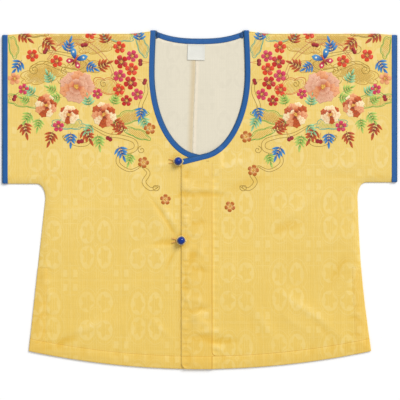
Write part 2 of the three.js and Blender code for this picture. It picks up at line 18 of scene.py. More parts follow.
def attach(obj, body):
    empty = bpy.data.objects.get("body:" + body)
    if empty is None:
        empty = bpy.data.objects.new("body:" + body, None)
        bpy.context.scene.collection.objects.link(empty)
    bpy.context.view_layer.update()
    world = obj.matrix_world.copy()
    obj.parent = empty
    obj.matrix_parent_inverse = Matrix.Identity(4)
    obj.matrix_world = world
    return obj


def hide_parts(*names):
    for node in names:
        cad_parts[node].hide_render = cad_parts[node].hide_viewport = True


bl_info = {
    "name": "Hanfu Dance Top",
    "version": (1, 0, 0),
    "blender": (4, 5, 0),
    "location": "View3D > Sidebar > Hanfu Top",
    "description": "Cloth, bindings, buttons and embroidery of a short-sleeved front-overlap top",
    "category": "Object",
}

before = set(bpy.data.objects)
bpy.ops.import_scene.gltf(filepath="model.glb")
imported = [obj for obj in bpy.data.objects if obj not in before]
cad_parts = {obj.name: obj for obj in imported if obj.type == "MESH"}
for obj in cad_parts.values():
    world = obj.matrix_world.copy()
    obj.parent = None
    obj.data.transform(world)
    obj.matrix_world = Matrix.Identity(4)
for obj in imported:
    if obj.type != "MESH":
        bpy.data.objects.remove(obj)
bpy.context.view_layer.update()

MM = 0.001

# ---- The cut, as in the CAD source ----
SPAN = 680.0
LENGTH = 583.0
CLOTH = 1.2
LINING = 1.0
SEAM_GAP = 0.3
BINDING_WIDTH = 8.6
BINDING = 1.6
BINDING_SHORT = 3.2
TOP = LENGTH / 2
NECK_POINT = 84.0
SHOULDER = TOP - 6
NECK_HALF_WIDTH = 86.5
NECK_SIDE_BEND = 245.0
NECK_ROUND_FROM = 217.0
NECK_ROUND_DEPTH = 147.5
NECK_LINE_FROM = 12.5
HEM_RISE = 30.9
HEM_HALF_WIDTH = 294.5
HEM_TURN = 22.0
HEM_EXTRA = 0.4
FRONT_CORNER = 10.0
BACK_NECK_MIDDLE = 268.5
LINING_AT = CLOTH + SEAM_GAP
FRONT_AT = LINING_AT + LINING + SEAM_GAP
FRONT_AT_EDGE = CLOTH + SEAM_GAP
LAP_LIFT = BINDING + SEAM_GAP
ROLL = 12.0
ARMPIT_WIDTH = 14.6
ARMPIT_HEIGHT = 26.0
CUFF_EDGE = SPAN / 2 - BINDING_WIDTH - SEAM_GAP

# lap is 1 for the half whose front lies over the other one. vent is where the vent's facing is stitched,
# at its top and at the hem. damask is the point of the cut that the pattern starts from.
Half = namedtuple(
    "Half", "name sign underarm hem_corner side_hollow sleeve_bottom front_edge lap vent damask"
)
RIGHT = Half("right", -1, 265.5, 294.0, 0.0, 27.5, -19.4, 0, (261.0, 266.0), (-178.9, -77.4))
LEFT = Half("left", 1, 271.5, 295.0, 4.5, 30.0, -31.4, 1, (262.0, 268.8), (151.9, -149.8))

# ---- How the cloth lies ----
BACK_AT = 0.45  # the back's outside, which rests on its thicker hem and side facings
FOLD_RADIUS = (FRONT_AT + CLOTH - BACK_AT) / 2
LAP_STEP = (20.0, 25.5)  # the right front's edge shows through here
LAP_STEP_AT_NECK = (16.0, 35.0, 20.0)  # how far further out, from this height, over this height
VENT_TOP = -117.6
PLACKET_ROUND = 8.0
FACING_TOP = 66.3  # the stitch across the left front's facing
LAP_SHADE = 9.0

# Broad swells of the fronts: x, y, direction in degrees, half length, half width, height.
SWELLS = (
    (-190, -70, 4, 150, 55, 0.9), (150, -60, 28, 120, 38, 1.1), (190, -205, -34, 75, 24, 1.3),
    (-175, -225, 24, 70, 24, 1.1), (95, -215, -70, 60, 26, 0.5), (-75, -25, -58, 60, 20, 1.0),
    (-85, -95, 38, 55, 20, 0.8), (40, 40, 3, 60, 18, 0.8), (5, -185, 80, 70, 22, 0.8),
    (142, -58, 24, 40, 14, -0.3), (-250, 120, 80, 90, 35, 0.7), (250, 110, -75, 90, 35, 0.7),
    (-120, 190, 60, 80, 35, 0.6), (125, 180, -60, 80, 35, 0.6),
)
# Creases, in the same order of numbers. A negative height is a trough. The first ones lie round the
# buttons and along the left front's edge, the others on the chest, hem, sides and sleeves.
CREASES = (
    (-61, -31, -57, 33, 3.0, -1.0), (-58, -75, 3, 20, 5.5, -1.1), (-48, -98, 64, 22, 3.2, -0.5),
    (-50, -30, -57, 24, 5.0, 0.5), (-20, -66, 8, 12, 3.6, -0.8), (-14, 24, 62, 12, 4.0, 0.8),
    (-20, 46, 70, 14, 4.2, -0.8), (-16, -100, 80, 14, 4.0, -0.6), (-68, -82, 5, 30, 4.6, 0.4),
    (-54, -96, 46, 26, 4.8, 0.35), (-44, -112, 66, 22, 4.5, 0.4), (-6, -60, 24, 20, 5, 0.45),
    (-8, -86, -28, 22, 5, 0.45), (-64, 60, 8, 24, 5, 0.55), (-58, 86, -40, 22, 5, 0.45),
    (-4, 18, 6, 16, 4.6, 0.45), (28, 16, -6, 20, 5, 0.3), (4, 9, 1, 34, 4.2, -0.8),
    (-24, 10, 0, 10, 4.2, -0.8), (-25, 27, 80, 10, 6, 1.2), (-23, -34, 88, 10, 5, 0.9),
    (-23, -92, 88, 13, 5, 0.8), (-27, -210, 80, 12, 5, 0.7), (-3, -206, 78, 15, 7, 0.9),
    (-2, -189, 10, 16, 5, -0.9), (42, -243, 2, 18, 5, -0.9), (-24, -146, 86, 12, 5, -0.6),
    (-22, -168, 84, 8, 5, 0.7), (-8, -95, 70, 14, 4.5, -0.5), (4, -80, 84, 16, 5, 0.6),
    (30, -255, -20, 11, 5, 0.8), (-4, -40, 8, 14, 4.5, -0.5), (0, -120, -12, 16, 5, -0.5),
    (2, -198, 18, 20, 6, 0.6), (10, -214, -32, 20, 6, 0.5), (14, -227, 6, 30, 5, 0.4),
    (6, -238, -8, 22, 6.5, -0.8), (-6, -172, -12, 18, 6, 0.4), (-12, -140, 14, 16, 6, 0.35),
    (186, -194, -38, 62, 8.5, 0.5), (208, -219, -40, 46, 8, -0.55), (166, -214, -34, 40, 8, 0.3),
    (95, -224, -57, 42, 10, -0.2), (112, -214, -58, 38, 9, 0.35), (205, -16, 33, 60, 11, -0.15),
    (182, -8, 31, 70, 12, 0.3), (147, -47, 20, 28, 11, -0.55), (-145, -79, 1, 80, 6.5, -0.15),
    (-228, -242, 24, 28, 7, -0.75), (-192, -222, 30, 34, 8, 0.35), (-214, -226, 28, 30, 7, 0.2),
    (-68, -221, -40, 28, 6, 0.4), (-120, -236, 62, 26, 8, 0.45), (252, 40, -4, 34, 7, -0.2),
    (244, 58, 10, 40, 10, 0.3), (-252, 36, 5, 30, 7, -0.2), (258, -150, 72, 36, 7, 0.4),
    (-262, -150, -76, 36, 7, 0.4), (240, -120, 60, 30, 9, -0.35), (62, 62, 14, 38, 9, 0.5),
    (88, 30, 20, 44, 10, -0.35), (-112, 44, -14, 44, 11, 0.35), (56, -120, 84, 46, 7, 0.25),
    (-120, -150, 12, 46, 11, 0.3), (120, -120, 40, 40, 10, 0.3), (230, -70, 24, 36, 10, 0.35),
    (-212, -20, 12, 46, 12, 0.35),
)

CREASE_BOW = 0.35  # how far a crease bows over half its length, in half widths
CREASE_LEAN = 0.35  # how much more it stands out on one side than on its middle line
CREASE_RISE = 1.5
DEEPEST = 0.75
OVER_FOLD = 0.35  # the most that embroidery stands up from the shoulder fold

# ---- The nets of the cloth ----
FRONT_PITCH = 3.4
BACK_PITCH = 7.5
LINING_PITCH = 5.5
SHARP = 3.5  # creases narrower than this get lines of their own
HEM_LINES = (19.8, 21.2, 22.6, 24.2)  # above the hem
VENT_LINES = (-1.6, 0.0, 1.6)  # beside the stitch line of the vent's facing
PLACKET_LINES = (19.2, 20.8, 22.4, 24.2, 26.4)  # across, where the lap steps down
FAR_OUTSIDE = -50.0  # stands for a point that is in no hem or facing
LINING_FACE = 0.9
LINING_WALL = 0.7

# ---- Buttons and label ----
BUTTONS = {"top": (-36.9, 65.9, 0), "lower": (-31.7, -70.3, 1)}
BALL_RADIUS = 6.5
BALL_FOOT = 2.0
LOOP_RADIUS = 7.5
TAIL_BEND = 6.5
TAIL_REACH = 16.0
TAIL_SPREAD = 3.6

LABEL_AT = (-6.0, 253.5)
LABEL_WIDTH = 30.0
LABEL_HEIGHT = 27.0
LABEL_TURN = -0.03


# ---- Small sums ----
def smooth(t):
    s = np.clip(t, 0.0, 1.0)
    return s * s * (3 - 2 * s)


def mix(a, b, t):
    return a + (b - a) * t


def linear(colour):
    """A colour as seen, 0 to 1, in the linear values that shaders take."""
    return tuple(c / 12.92 if c <= 0.04045 else ((c + 0.055) / 1.055) ** 2.4 for c in colour)


def seen(red, green, blue):
    return (red / 255, green / 255, blue / 255)


def ripples(t, start):
    """An uneven wave along a seam, about -1 to 1."""
    waves = ((31.0, 0.5), (19.3, 0.34), (12.1, 0.22))
    return sum(
        share * np.sin(2 * math.pi * t / long + start * (k + 1.3)) for k, (long, share) in enumerate(waves)
    )


# ---- Outlines ----
def hem_at(across):
    return -LENGTH / 2 + HEM_RISE * (across / HEM_HALF_WIDTH) ** 2


def shoulder_at(across):
    return SHOULDER + 4 * smooth((118 - across) / 34) - 2 * smooth((across - 300) / 40)


def fold_line(across):
    """Along, where the front turns into the shoulder fold."""
    return shoulder_at(across) - FOLD_RADIUS


def runs_of(line):
    """How far each point lies along a line of points."""
    return np.concatenate([[0], np.cumsum(np.linalg.norm(np.diff(line, axis=0), axis=1))])


def resampled(points, step):
    """The same line with points about a step apart, ends kept."""
    points = np.asarray(points, float)
    runs = runs_of(points)
    count = max(1, round(runs[-1] / step))
    at = np.linspace(0, runs[-1], count + 1)
    return np.stack([np.interp(at, runs, points[:, k]) for k in range(points.shape[1])], axis=1)


def neck_edge(half):
    """The cloth's edge from the neck point down to the front edge, as a fine line."""
    t = np.linspace(0, 1, 30)[:, None]
    top = np.array([NECK_POINT, float(fold_line(NECK_POINT))])
    bend = np.array([NECK_HALF_WIDTH, NECK_SIDE_BEND])
    turn = np.array([NECK_HALF_WIDTH, NECK_ROUND_FROM])
    side = (1 - t) ** 2 * top + 2 * t * (1 - t) * bend + t * t * turn
    line_angle = math.asin(NECK_LINE_FROM / NECK_HALF_WIDTH)
    angle = np.linspace(0, -math.pi / 2 + line_angle, 160)
    round_part = paired(
        NECK_HALF_WIDTH * np.cos(angle), NECK_ROUND_FROM + NECK_ROUND_DEPTH * np.sin(angle)
    )
    slope = NECK_ROUND_DEPTH / NECK_HALF_WIDTH * math.tan(line_angle)
    start = round_part[-1]
    end = np.array([half.front_edge, start[1] - slope * (start[0] - half.front_edge)])
    return np.concatenate([side, round_part[1:], end[None]])


def armpit(half):
    return half.underarm + ARMPIT_WIDTH, half.sleeve_bottom - ARMPIT_HEIGHT


def side_at(half, along):
    start = armpit(half)[1]
    t = (start - along) / (start - hem_at(half.hem_corner))
    return mix(half.underarm, half.hem_corner, t) - half.side_hollow * np.sin(math.pi * t)


def back_neck(count):
    """The back neckline of a half, from the centre seam to the neck point."""
    share = np.linspace(0, 1, count)
    across = mix(SEAM_GAP / 2, NECK_POINT, share)
    along = BACK_NECK_MIDDLE + 12.5 * (across / 75) ** 2.6
    along[-1] = fold_line(NECK_POINT)
    return paired(across, along)


def sewn_edge(half):
    """From the cuff, under the sleeve, round the armpit and down the side."""
    corner_across, corner_along = armpit(half)
    quarter = np.linspace(0, math.pi / 2, 12)
    arc = paired(
        corner_across - ARMPIT_WIDTH * np.sin(quarter), corner_along + ARMPIT_HEIGHT * np.cos(quarter)
    )
    along = np.linspace(corner_along, hem_at(half.hem_corner), 30)
    side = paired(side_at(half, along), along)
    return np.concatenate([[[CUFF_EDGE, half.sleeve_bottom]], arc, side[1:]])


def hem_edge(start, end):
    across = np.linspace(start, end, 60)
    return paired(across, hem_at(across))


def front_corner(half):
    quarter = np.linspace(0, math.pi / 2, 7)
    middle = (half.front_edge + FRONT_CORNER, hem_at(half.front_edge) + FRONT_CORNER)
    return paired(middle[0] - FRONT_CORNER * np.sin(quarter), middle[1] - FRONT_CORNER * np.cos(quarter))


def distance_to(line, points):
    """Least distance of each point to a line of points."""
    a, b = line[:-1], line[1:]
    run = b - a
    long = np.maximum((run**2).sum(1), 1e-12)
    least = np.full(len(points), 1e9)
    for start, step, size in zip(a, run, long):
        off = points - start
        t = np.clip(off @ step / size, 0, 1)
        least = np.minimum(least, np.hypot(off[:, 0] - t * step[0], off[:, 1] - t * step[1]))
    return least


def inside(outline, points):
    """Whether each point lies in a closed outline."""
    x, y = points[:, 0], points[:, 1]
    odd = np.zeros(len(points), bool)
    for (ax, ay), (bx, by) in zip(outline, np.roll(outline, -1, axis=0)):
        crosses = (ay > y) != (by > y)
        if ay != by:
            odd ^= crosses & (x < (bx - ax) * (y - ay) / (by - ay) + ax)
    return odd


def paired(across, along):
    """Points from two rows of numbers."""
    return np.stack([across, along], axis=1)


def moved_in(line, step):
    """The line, moved sideways to its left."""
    run = np.gradient(line, axis=0)
    left = paired(-run[:, 1], run[:, 0])
    return line + step * left / np.maximum(np.linalg.norm(left, axis=1), 1e-9)[:, None]


def polar(at, reach, angle):
    return at[0] + reach * math.cos(angle), at[1] + reach * math.sin(angle)


# ---- Heights ----
def bumps(rows, x, y):
    """The sum of soft ridges and troughs at each point."""
    high = np.zeros(np.shape(x))
    for mid_x, mid_y, turn, long, wide, rise in rows:
        c, s = math.cos(math.radians(turn)), math.sin(math.radians(turn))
        run = ((x - mid_x) * c + (y - mid_y) * s) / long
        bow = CREASE_BOW * run * run * wide
        off = ((y - mid_y) * c - (x - mid_x) * s + bow) / wide
        high += rise * np.exp(-run * run - off * off) * (1 + CREASE_LEAN * np.tanh(off))
    return high


def by_buttons(x, y, start, over):
    """0 beside a button and 1 away from it."""
    near = np.min([np.hypot(x - bx, y - by) for bx, by, _ in BUTTONS.values()], axis=0)
    return smooth((near - start) / over)


def lap_at(half, across, along):
    """How much higher a front lies because the other one is under it."""
    shift, start, over = LAP_STEP_AT_NECK
    out = shift * smooth((along - start) / over)
    return half.lap * LAP_LIFT * smooth((LAP_STEP[1] + out - across) / (LAP_STEP[1] - LAP_STEP[0]))


def hem_in(across, along):
    """How far a point lies inside the hem's turn-up."""
    return HEM_TURN - (along - hem_at(across))


def vent_line(half, along):
    """Across, where the side vent's facing is stitched."""
    low = hem_at(half.hem_corner)
    return mix(half.vent[0], half.vent[1], (VENT_TOP - along) / (VENT_TOP - low))


def vent_in(half, across, along):
    """How far a point lies inside the facing of the side vent."""
    return np.minimum(across - vent_line(half, along), (VENT_TOP - along) * 0.8)


def placket_in(half, across, along):
    """How far a point lies inside the facing of the left front's edge."""
    if not half.lap:
        return np.full(np.shape(across), FAR_OUTSIDE)
    beside = across - LAP_STEP[0] - 1.2
    above = -hem_in(across, along)
    short = [np.maximum(PLACKET_ROUND - reach, 0) for reach in (beside, above)]
    corner = PLACKET_ROUND - np.hypot(*short)
    return -np.where(above > 0, np.minimum(corner, beside), beside)


def front_under(half, across, along, edge):
    """Underside of a front where its binding is sewn on, as in the CAD source."""
    to_edge = distance_to(edge, np.stack([across, along], axis=-1))
    flat = mix(FRONT_AT_EDGE, FRONT_AT, smooth(to_edge / ROLL))
    return flat + lap_at(half, across, along)


def relief_of(half, across, along):
    """Swells, creases and puckers of a front, and its distances to its sewn, front and nearest edges."""
    x = half.sign * across
    points = np.stack([across, along], axis=-1).reshape(-1, 2)
    edges = half_edges[half.name]
    sewn, hem, front = (
        distance_to(edges[name], points).reshape(across.shape) for name in ("sewn", "hem", "front")
    )
    to_edge = np.minimum(sewn, hem)
    to_neck = np.hypot(across, (along - 190) * 0.6) - 84
    to_fold = shoulder_at(across) - along
    calm = smooth(to_edge / 45) * smooth((SPAN / 2 - across) / 60) * smooth(to_fold / 45)
    calm_here = smooth(to_edge / 16) * smooth((CUFF_EDGE - across) / 30) * smooth(to_fold / 30)
    swell = bumps(SWELLS, x, along) * calm * smooth(to_neck / 40) * by_buttons(x, along, 18, 30)
    crease = bumps(CREASES, x, along) * calm_here * smooth(to_neck / 14 + 0.2) * by_buttons(x, along, 9, 12)
    if half.lap:
        ripple = np.exp(-(((across - half.front_edge - 7) / 5.5) ** 2)) * ripples(along * 2.6, 3.0)
        ripple += 0.7 * np.exp(-(((across - LAP_STEP[0] - 6) / 5) ** 2)) * ripples(along * 2.3, 5.0)
        crease += 0.5 * ripple * (along < 50) * by_buttons(x, along, 12, 10)
    crease = crease * CREASE_RISE * bpy.context.scene.hanfu_sizes.crease_height
    crease = np.where(crease < 0, -DEEPEST * np.tanh(-crease / DEEPEST), crease)
    pucker = np.exp(-(((hem_in(across, along) - 4) / 13) ** 2)) * ripples(across, 1.0 + half.lap)
    pucker += np.exp(-((vent_in(half, across, along) / 12) ** 2)) * ripples(along * 1.25, 4.0 + half.lap)
    pucker += 0.8 * np.exp(-(((sewn - 9) / 9) ** 2)) * ripples(along * 0.9 + across * 0.6, 2.0 + half.lap)
    pucker = pucker * smooth(to_edge / 5) * by_buttons(x, along, 12, 12)
    return swell, crease, pucker, sewn, front, to_edge


def front_top(half, across, along):
    """Height of a front's outside."""
    across, along = np.asarray(across, float), np.asarray(along, float)
    swell, crease, pucker, sewn, front, to_edge = relief_of(half, across, along)
    flat = mix(FRONT_AT_EDGE, FRONT_AT, smooth(to_edge / ROLL))
    top = flat + CLOTH + swell + crease + lap_at(half, across, along)
    top += HEM_EXTRA * smooth((hem_in(across, along) + 1) / 1.4)
    facing = np.maximum(vent_in(half, across, along), placket_in(half, across, along))
    top += 0.13 * smooth((facing + 0.7) / 1.4) * (along < 60)
    # stitched lines draw the cloth in
    stitched = np.exp(-((hem_in(across, along) / 1.3) ** 2)) * (across > half.front_edge + 14)
    stitched += np.exp(-((vent_in(half, across, along) / 1.2) ** 2)) * 0.8
    top -= 0.32 * np.minimum(stitched, 1)
    top += 0.24 * pucker
    # free and sewn edges roll down to what lies under them
    top -= 0.6 * (1 - smooth(sewn / 3.5)) * (along > VENT_TOP)
    top -= 0.35 * (1 - smooth(to_edge / 1.6))
    if half.lap:
        drop = 0.45 * (1 - smooth(front / 22)) + 0.1 * (1 - smooth(front / 1.6))
        top -= drop * by_buttons(half.sign * across, along, 8, 8)
    return top


def front_shading(half, across, along):
    """Painted shade of a front: darker in folds, beside the lap's edge and round the buttons. Below 0 it is
    painted highlight, on ridges and swells.
    """
    swell, crease, pucker, _, front, _ = relief_of(half, across, along)
    # painted shade in the troughs of creases and puckers
    trough_shade = 0.85 * smooth(-crease / 0.7) + 0.55 * smooth(-pucker)
    # painted highlight on the ridges of creases and puckers, and on swells
    shading = trough_shade - 0.55 * smooth(pucker) - 0.7 * smooth(crease / 0.9)
    shading = shading - 0.3 * smooth(swell / 1.2)
    # painted shade along the lap's own edge, and painted shadow of the lap on the front under it
    if half.lap:
        lap_edge_shade = 0.1 * (1 - smooth(front / 5)) * (along < FACING_TOP)
    else:
        lap_edge_shade = 0.4 * (1 - smooth((across + LEFT.front_edge) / LAP_SHADE)) * (along < FACING_TOP)
    # painted shadow round the buttons
    return shading + lap_edge_shade + 0.9 * (1 - by_buttons(half.sign * across, along, 6, 12))


def back_bottom(half, across, along):
    """Height of the back's outside, which faces down."""
    x = half.sign * across
    lift = 0.2 * np.tanh(bumps(CREASES, -x, along) + 0.5 * ripples(across * 0.4 + along * 0.3, half.sign))
    calm = smooth((shoulder_at(across) - along) / 30)
    facing = smooth((np.maximum(hem_in(across, along), vent_in(half, across, along)) + 1) / 1.4)
    return np.maximum(BACK_AT + lift * calm * (1 - facing) - 0.38 * facing, 0.03)


def drape(half, across, length, high):
    """Points on a half's outside, high above it. Length is along, and goes on over the shoulder."""
    across, length, high = (np.asarray(v, float) for v in (across, length, high))
    start = fold_line(across)
    beyond = length - start
    angle = math.pi / 2 - np.clip(beyond / FOLD_RADIUS, 0, math.pi)
    reach = FOLD_RADIUS + np.where(beyond > 0, np.minimum(high, OVER_FOLD), high)
    on_back = np.maximum(beyond - math.pi * FOLD_RADIUS, 0)
    along = np.where(beyond > 0, start + reach * np.cos(angle) - on_back, length)
    z = np.where(
        beyond > 0,
        BACK_AT + FOLD_RADIUS + reach * np.sin(angle),
        front_top(half, across, np.minimum(length, start)) + high,
    )
    return np.stack([half.sign * across, along, z], axis=-1)


def edges_of(half):
    """The edges of a front, as coarse lines that distances are measured to."""
    hem = hem_edge(half.hem_corner, half.front_edge)
    low, high = hem_at(half.front_edge), neck_edge(half)[-1][1]
    front = np.array([[half.front_edge, low], [half.front_edge, high]])
    return {"sewn": resampled(sewn_edge(half), 9), "hem": hem[::3], "front": front}


half_edges = {half.name: edges_of(half) for half in (RIGHT, LEFT)}


# ---- Mesh makers ----
def new_piece(name, points, faces, material, smooth_faces=True):
    """A mesh object with its place, in millimetres, in its mesh."""
    mesh = bpy.data.meshes.new(name)
    mesh.from_pydata((np.asarray(points, float) * MM).tolist(), [], [list(map(int, f)) for f in faces])
    mesh.update()
    mesh.polygons.foreach_set("use_smooth", [smooth_faces] * len(mesh.polygons))
    mesh.materials.append(material)
    piece = bpy.data.objects.new(name, mesh)
    bpy.context.scene.collection.objects.link(piece)
    return piece


def set_cut(piece, cut):
    """Lays the pattern on a piece: a point of the flat cut, in metres, for each vertex."""
    mesh = piece.data
    layer = mesh.uv_layers.new(name="cut")
    corners = np.empty(len(mesh.loops), int)
    mesh.loops.foreach_get("vertex_index", corners)
    layer.data.foreach_set("uv", (np.asarray(cut, float)[corners] * MM).ravel())


def set_values(piece, name, values):
    attribute = piece.data.attributes.new(name, "FLOAT", "POINT")
    attribute.data.foreach_set("value", np.asarray(values, np.float32))


def net(outline, pitch, lines=()):
    """Even triangles over a closed outline, with points along the given lines too."""
    low, high = outline.min(0), outline.max(0)
    grid = np.array([
        (x, y)
        for row, y in enumerate(np.arange(low[1], high[1], pitch * math.sqrt(3) / 2))
        for x in np.arange(low[0] + (row % 2) * pitch / 2, high[0], pitch)
    ])
    closed = np.concatenate([outline, outline[:1]])
    kept = [np.empty((0, 2))]
    for line in lines:
        line = line[inside(outline, line)]
        line = line[distance_to(closed, line) > 0.45]
        kept.append(line)
    extra = np.concatenate(kept)
    grid = grid[inside(outline, grid)]
    grid = grid[distance_to(closed, grid) > 0.5 * pitch]
    for line in kept[1:]:
        if len(line) > 1:
            grid = grid[distance_to(line, grid) > 0.45 * pitch]
    points = np.concatenate([outline, extra, grid])
    count = len(outline)
    border = [(k, (k + 1) % count) for k in range(count)]
    found = delaunay_2d_cdt([Vector(p) for p in points], border, [], 1, 1e-5)
    if len(found[0]) != len(points):
        raise RuntimeError(f"The net has {len(found[0])} points in place of {len(points)}.")
    order = [back[0] for back in found[3]]
    cells = np.array([[order[i] for i in face] for face in found[2]])
    return points, cells


def wall(outside, inward, cells, bulge):
    """Closes a surface into a wall with a rounded rim. Returns points, faces and the rim's sources."""
    count = len(outside)
    sides = {}
    for cell in cells:
        for a, b in zip(cell, [*cell[1:], cell[0]]):
            if (b, a) in sides:
                del sides[(b, a)]
            else:
                sides[(a, b)] = True
    after = {a: b for a, b in sides}
    before = {b: a for a, b in sides}
    rim = sorted(after)
    place = {v: 2 * count + k for k, v in enumerate(rim)}
    here = np.array(rim)
    run = outside[[after[v] for v in rim]] - outside[[before[v] for v in rim]]
    up = outside[here] - inward[here]
    out = np.cross(run, up)
    out /= np.maximum(np.linalg.norm(out, axis=1), 1e-9)[:, None]
    middle = (outside[here] + inward[here]) / 2 + bulge * out
    faces = [list(cell) for cell in cells]
    faces += [[i + count for i in reversed(cell)] for cell in faces[: len(cells)]]
    for a, b in sides:
        faces.append([b, a, place[a], place[b]])
        faces.append([place[b], place[a], a + count, b + count])
    return np.concatenate([outside, inward, middle]), faces, here


def facing_up(points, cells, up=True):
    """Cells turned so that they face up, or down."""
    a, b, c = (points[cells[:, k]] for k in range(3))
    area = (b[:, 0] - a[:, 0]) * (c[:, 1] - a[:, 1]) - (b[:, 1] - a[:, 1]) * (c[:, 0] - a[:, 0])
    turned = (area > 0) != up
    cells = cells.copy()
    cells[turned] = cells[turned][:, ::-1]
    return cells


def tube(sections, ring=False):
    """Faces through closed sections with the same number of corners."""
    corners = len(sections[0])
    count = len(sections)
    faces = []
    for j in range(count if ring else count - 1):
        a, b = j * corners, ((j + 1) % count) * corners
        for k in range(corners):
            m = (k + 1) % corners
            faces.append([a + k, b + k, b + m, a + m])
    if not ring:
        faces.append(list(range(corners)))
        faces.append([(count - 1) * corners + k for k in reversed(range(corners))])
    return np.concatenate(sections), faces


def joined(parts):
    """Joins parts given as faces and then arrays, the points first."""
    faces, base = [], 0
    for cells, points, *_ in parts:
        faces += [[i + base for i in cell] for cell in cells]
        base += len(points)
    return faces, *(np.concatenate(rows) for rows in list(zip(*parts))[1:])


def face_out(piece):
    """Turns every face of closed shells outward."""
    shape = bmesh.new()
    shape.from_mesh(piece.data)
    bmesh.ops.recalc_face_normals(shape, faces=shape.faces)
    shape.to_mesh(piece.data)
    shape.free()


def lay(piece, replaces=()):
    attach(piece, "root")
    if replaces:
        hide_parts(*replaces)
    return piece


# ---- Materials ----
class Sums:
    """Chains of Math nodes in one node tree."""

    def __init__(self, tree):
        self.tree = tree

    def node(self, kind, **values):
        made = self.tree.nodes.new("ShaderNode" + kind)
        for name, value in values.items():
            setattr(made, name, value)
        return made

    def feed(self, socket, value):
        if isinstance(value, bpy.types.NodeSocket):
            self.tree.links.new(value, socket)
        else:
            socket.default_value = value

    def do(self, operation, *values):
        made = self.node("Math", operation=operation)
        for socket, value in zip(made.inputs, values):
            self.feed(socket, value)
        return made.outputs[0]

    def ramp(self, value, start, end, low=0.0, high=1.0):
        made = self.node("MapRange", interpolation_type="SMOOTHSTEP")
        for socket, given in zip(made.inputs, (value, start, end, low, high)):
            self.feed(socket, given)
        return made.outputs[0]

    def fall(self, value, start, end):
        """A ramp down, from 1 to 0."""
        return self.ramp(value, start, end, 1.0, 0.0)

    def band(self, value, start, end, soft):
        rise = self.ramp(value, start - soft, start + soft)
        fall = self.fall(value, end - soft, end + soft)
        return self.times(rise, fall)

    def line(self, value, at, half_width, soft):
        return self.band(value, at - half_width, at + half_width, soft)

    def chain(self, operation, first, *others):
        for value in others:
            first = self.do(operation, first, value)
        return first

    def most(self, *values):
        return self.chain("MAXIMUM", *values)

    def total(self, *values):
        return self.chain("ADD", *values)

    def times(self, *values):
        return self.chain("MULTIPLY", *values)

    def off(self, value, middle, amount):
        """How far a value lies from its middle, times an amount."""
        return self.times(self.do("SUBTRACT", value, middle), amount)

    def wave(self, value, pitch):
        """Threads side by side at a pitch, 0 between them and 1 on them."""
        return self.do("ABSOLUTE", self.do("SINE", self.times(value, math.pi / pitch)))

    def split(self, vector):
        made = self.node("SeparateXYZ")
        self.feed(made.inputs[0], vector)
        return made.outputs[0], made.outputs[1]

    def filled(self, kind, **inputs):
        """The first output of a node whose inputs are set by name."""
        made = self.node(kind)
        for label, value in inputs.items():
            self.feed(made.inputs[label], value)
        return made.outputs[0]

    def scaled(self, vector, x, y, z=1.0):
        return self.filled("Mapping", Vector=vector, Scale=(x, y, z))

    def noise(self, vector, scale, detail=2.0, rough=0.5):
        return self.filled("TexNoise", Vector=vector, Scale=scale, Detail=detail, Roughness=rough)

    def blend(self, share, a, b, kind="MIX"):
        made = self.node("Mix", data_type="RGBA", blend_type=kind)
        for socket, value in zip((made.inputs[0], made.inputs[6], made.inputs[7]), (share, a, b)):
            self.feed(socket, (*value, 1.0) if isinstance(value, tuple) and len(value) == 3 else value)
        return made.outputs[2]

    def in_mm(self, vector):
        return self.brighter(vector, 1 / MM)

    def brighter(self, colour, factor):
        made = self.node("VectorMath", operation="SCALE")
        self.feed(made.inputs[0], colour)
        self.feed(made.inputs["Scale"], factor)
        return made.outputs[0]

    def value(self, name):
        return self.node("Attribute", attribute_name=name).outputs["Fac"]

    def cut(self):
        return self.node("UVMap", uv_map="cut").outputs[0]

    def bump(self, height, strength, distance, **normal):
        return self.filled("Bump", Strength=strength, Distance=distance, Height=height, **normal)

    def use(self, group, *values):
        made = self.node("Group", node_tree=group)
        for socket, value in zip(made.inputs, values):
            self.feed(socket, value)
        return made.outputs


def new_group(name, inputs, outputs):
    """A node group with float inputs, after a vector, and float outputs."""
    tree = bpy.data.node_groups.new(name, "ShaderNodeTree")
    tree.interface.new_socket("Vector", in_out="INPUT", socket_type="NodeSocketVector")
    for label in inputs:
        tree.interface.new_socket(label, in_out="INPUT", socket_type="NodeSocketFloat")
    for label in outputs:
        tree.interface.new_socket(label, in_out="OUTPUT", socket_type="NodeSocketFloat")
    sums = Sums(tree)
    return tree, sums, tree.nodes.new("NodeGroupInput").outputs, tree.nodes.new("NodeGroupOutput").inputs


WAVE_MIDDLE = 0.63  # the mean of threads that run from 0 to 1
REPEAT_WIDE = 87.7  # of the damask's figure, in millimetres
REPEAT_HIGH = 123.0
STRIPE = 3.987


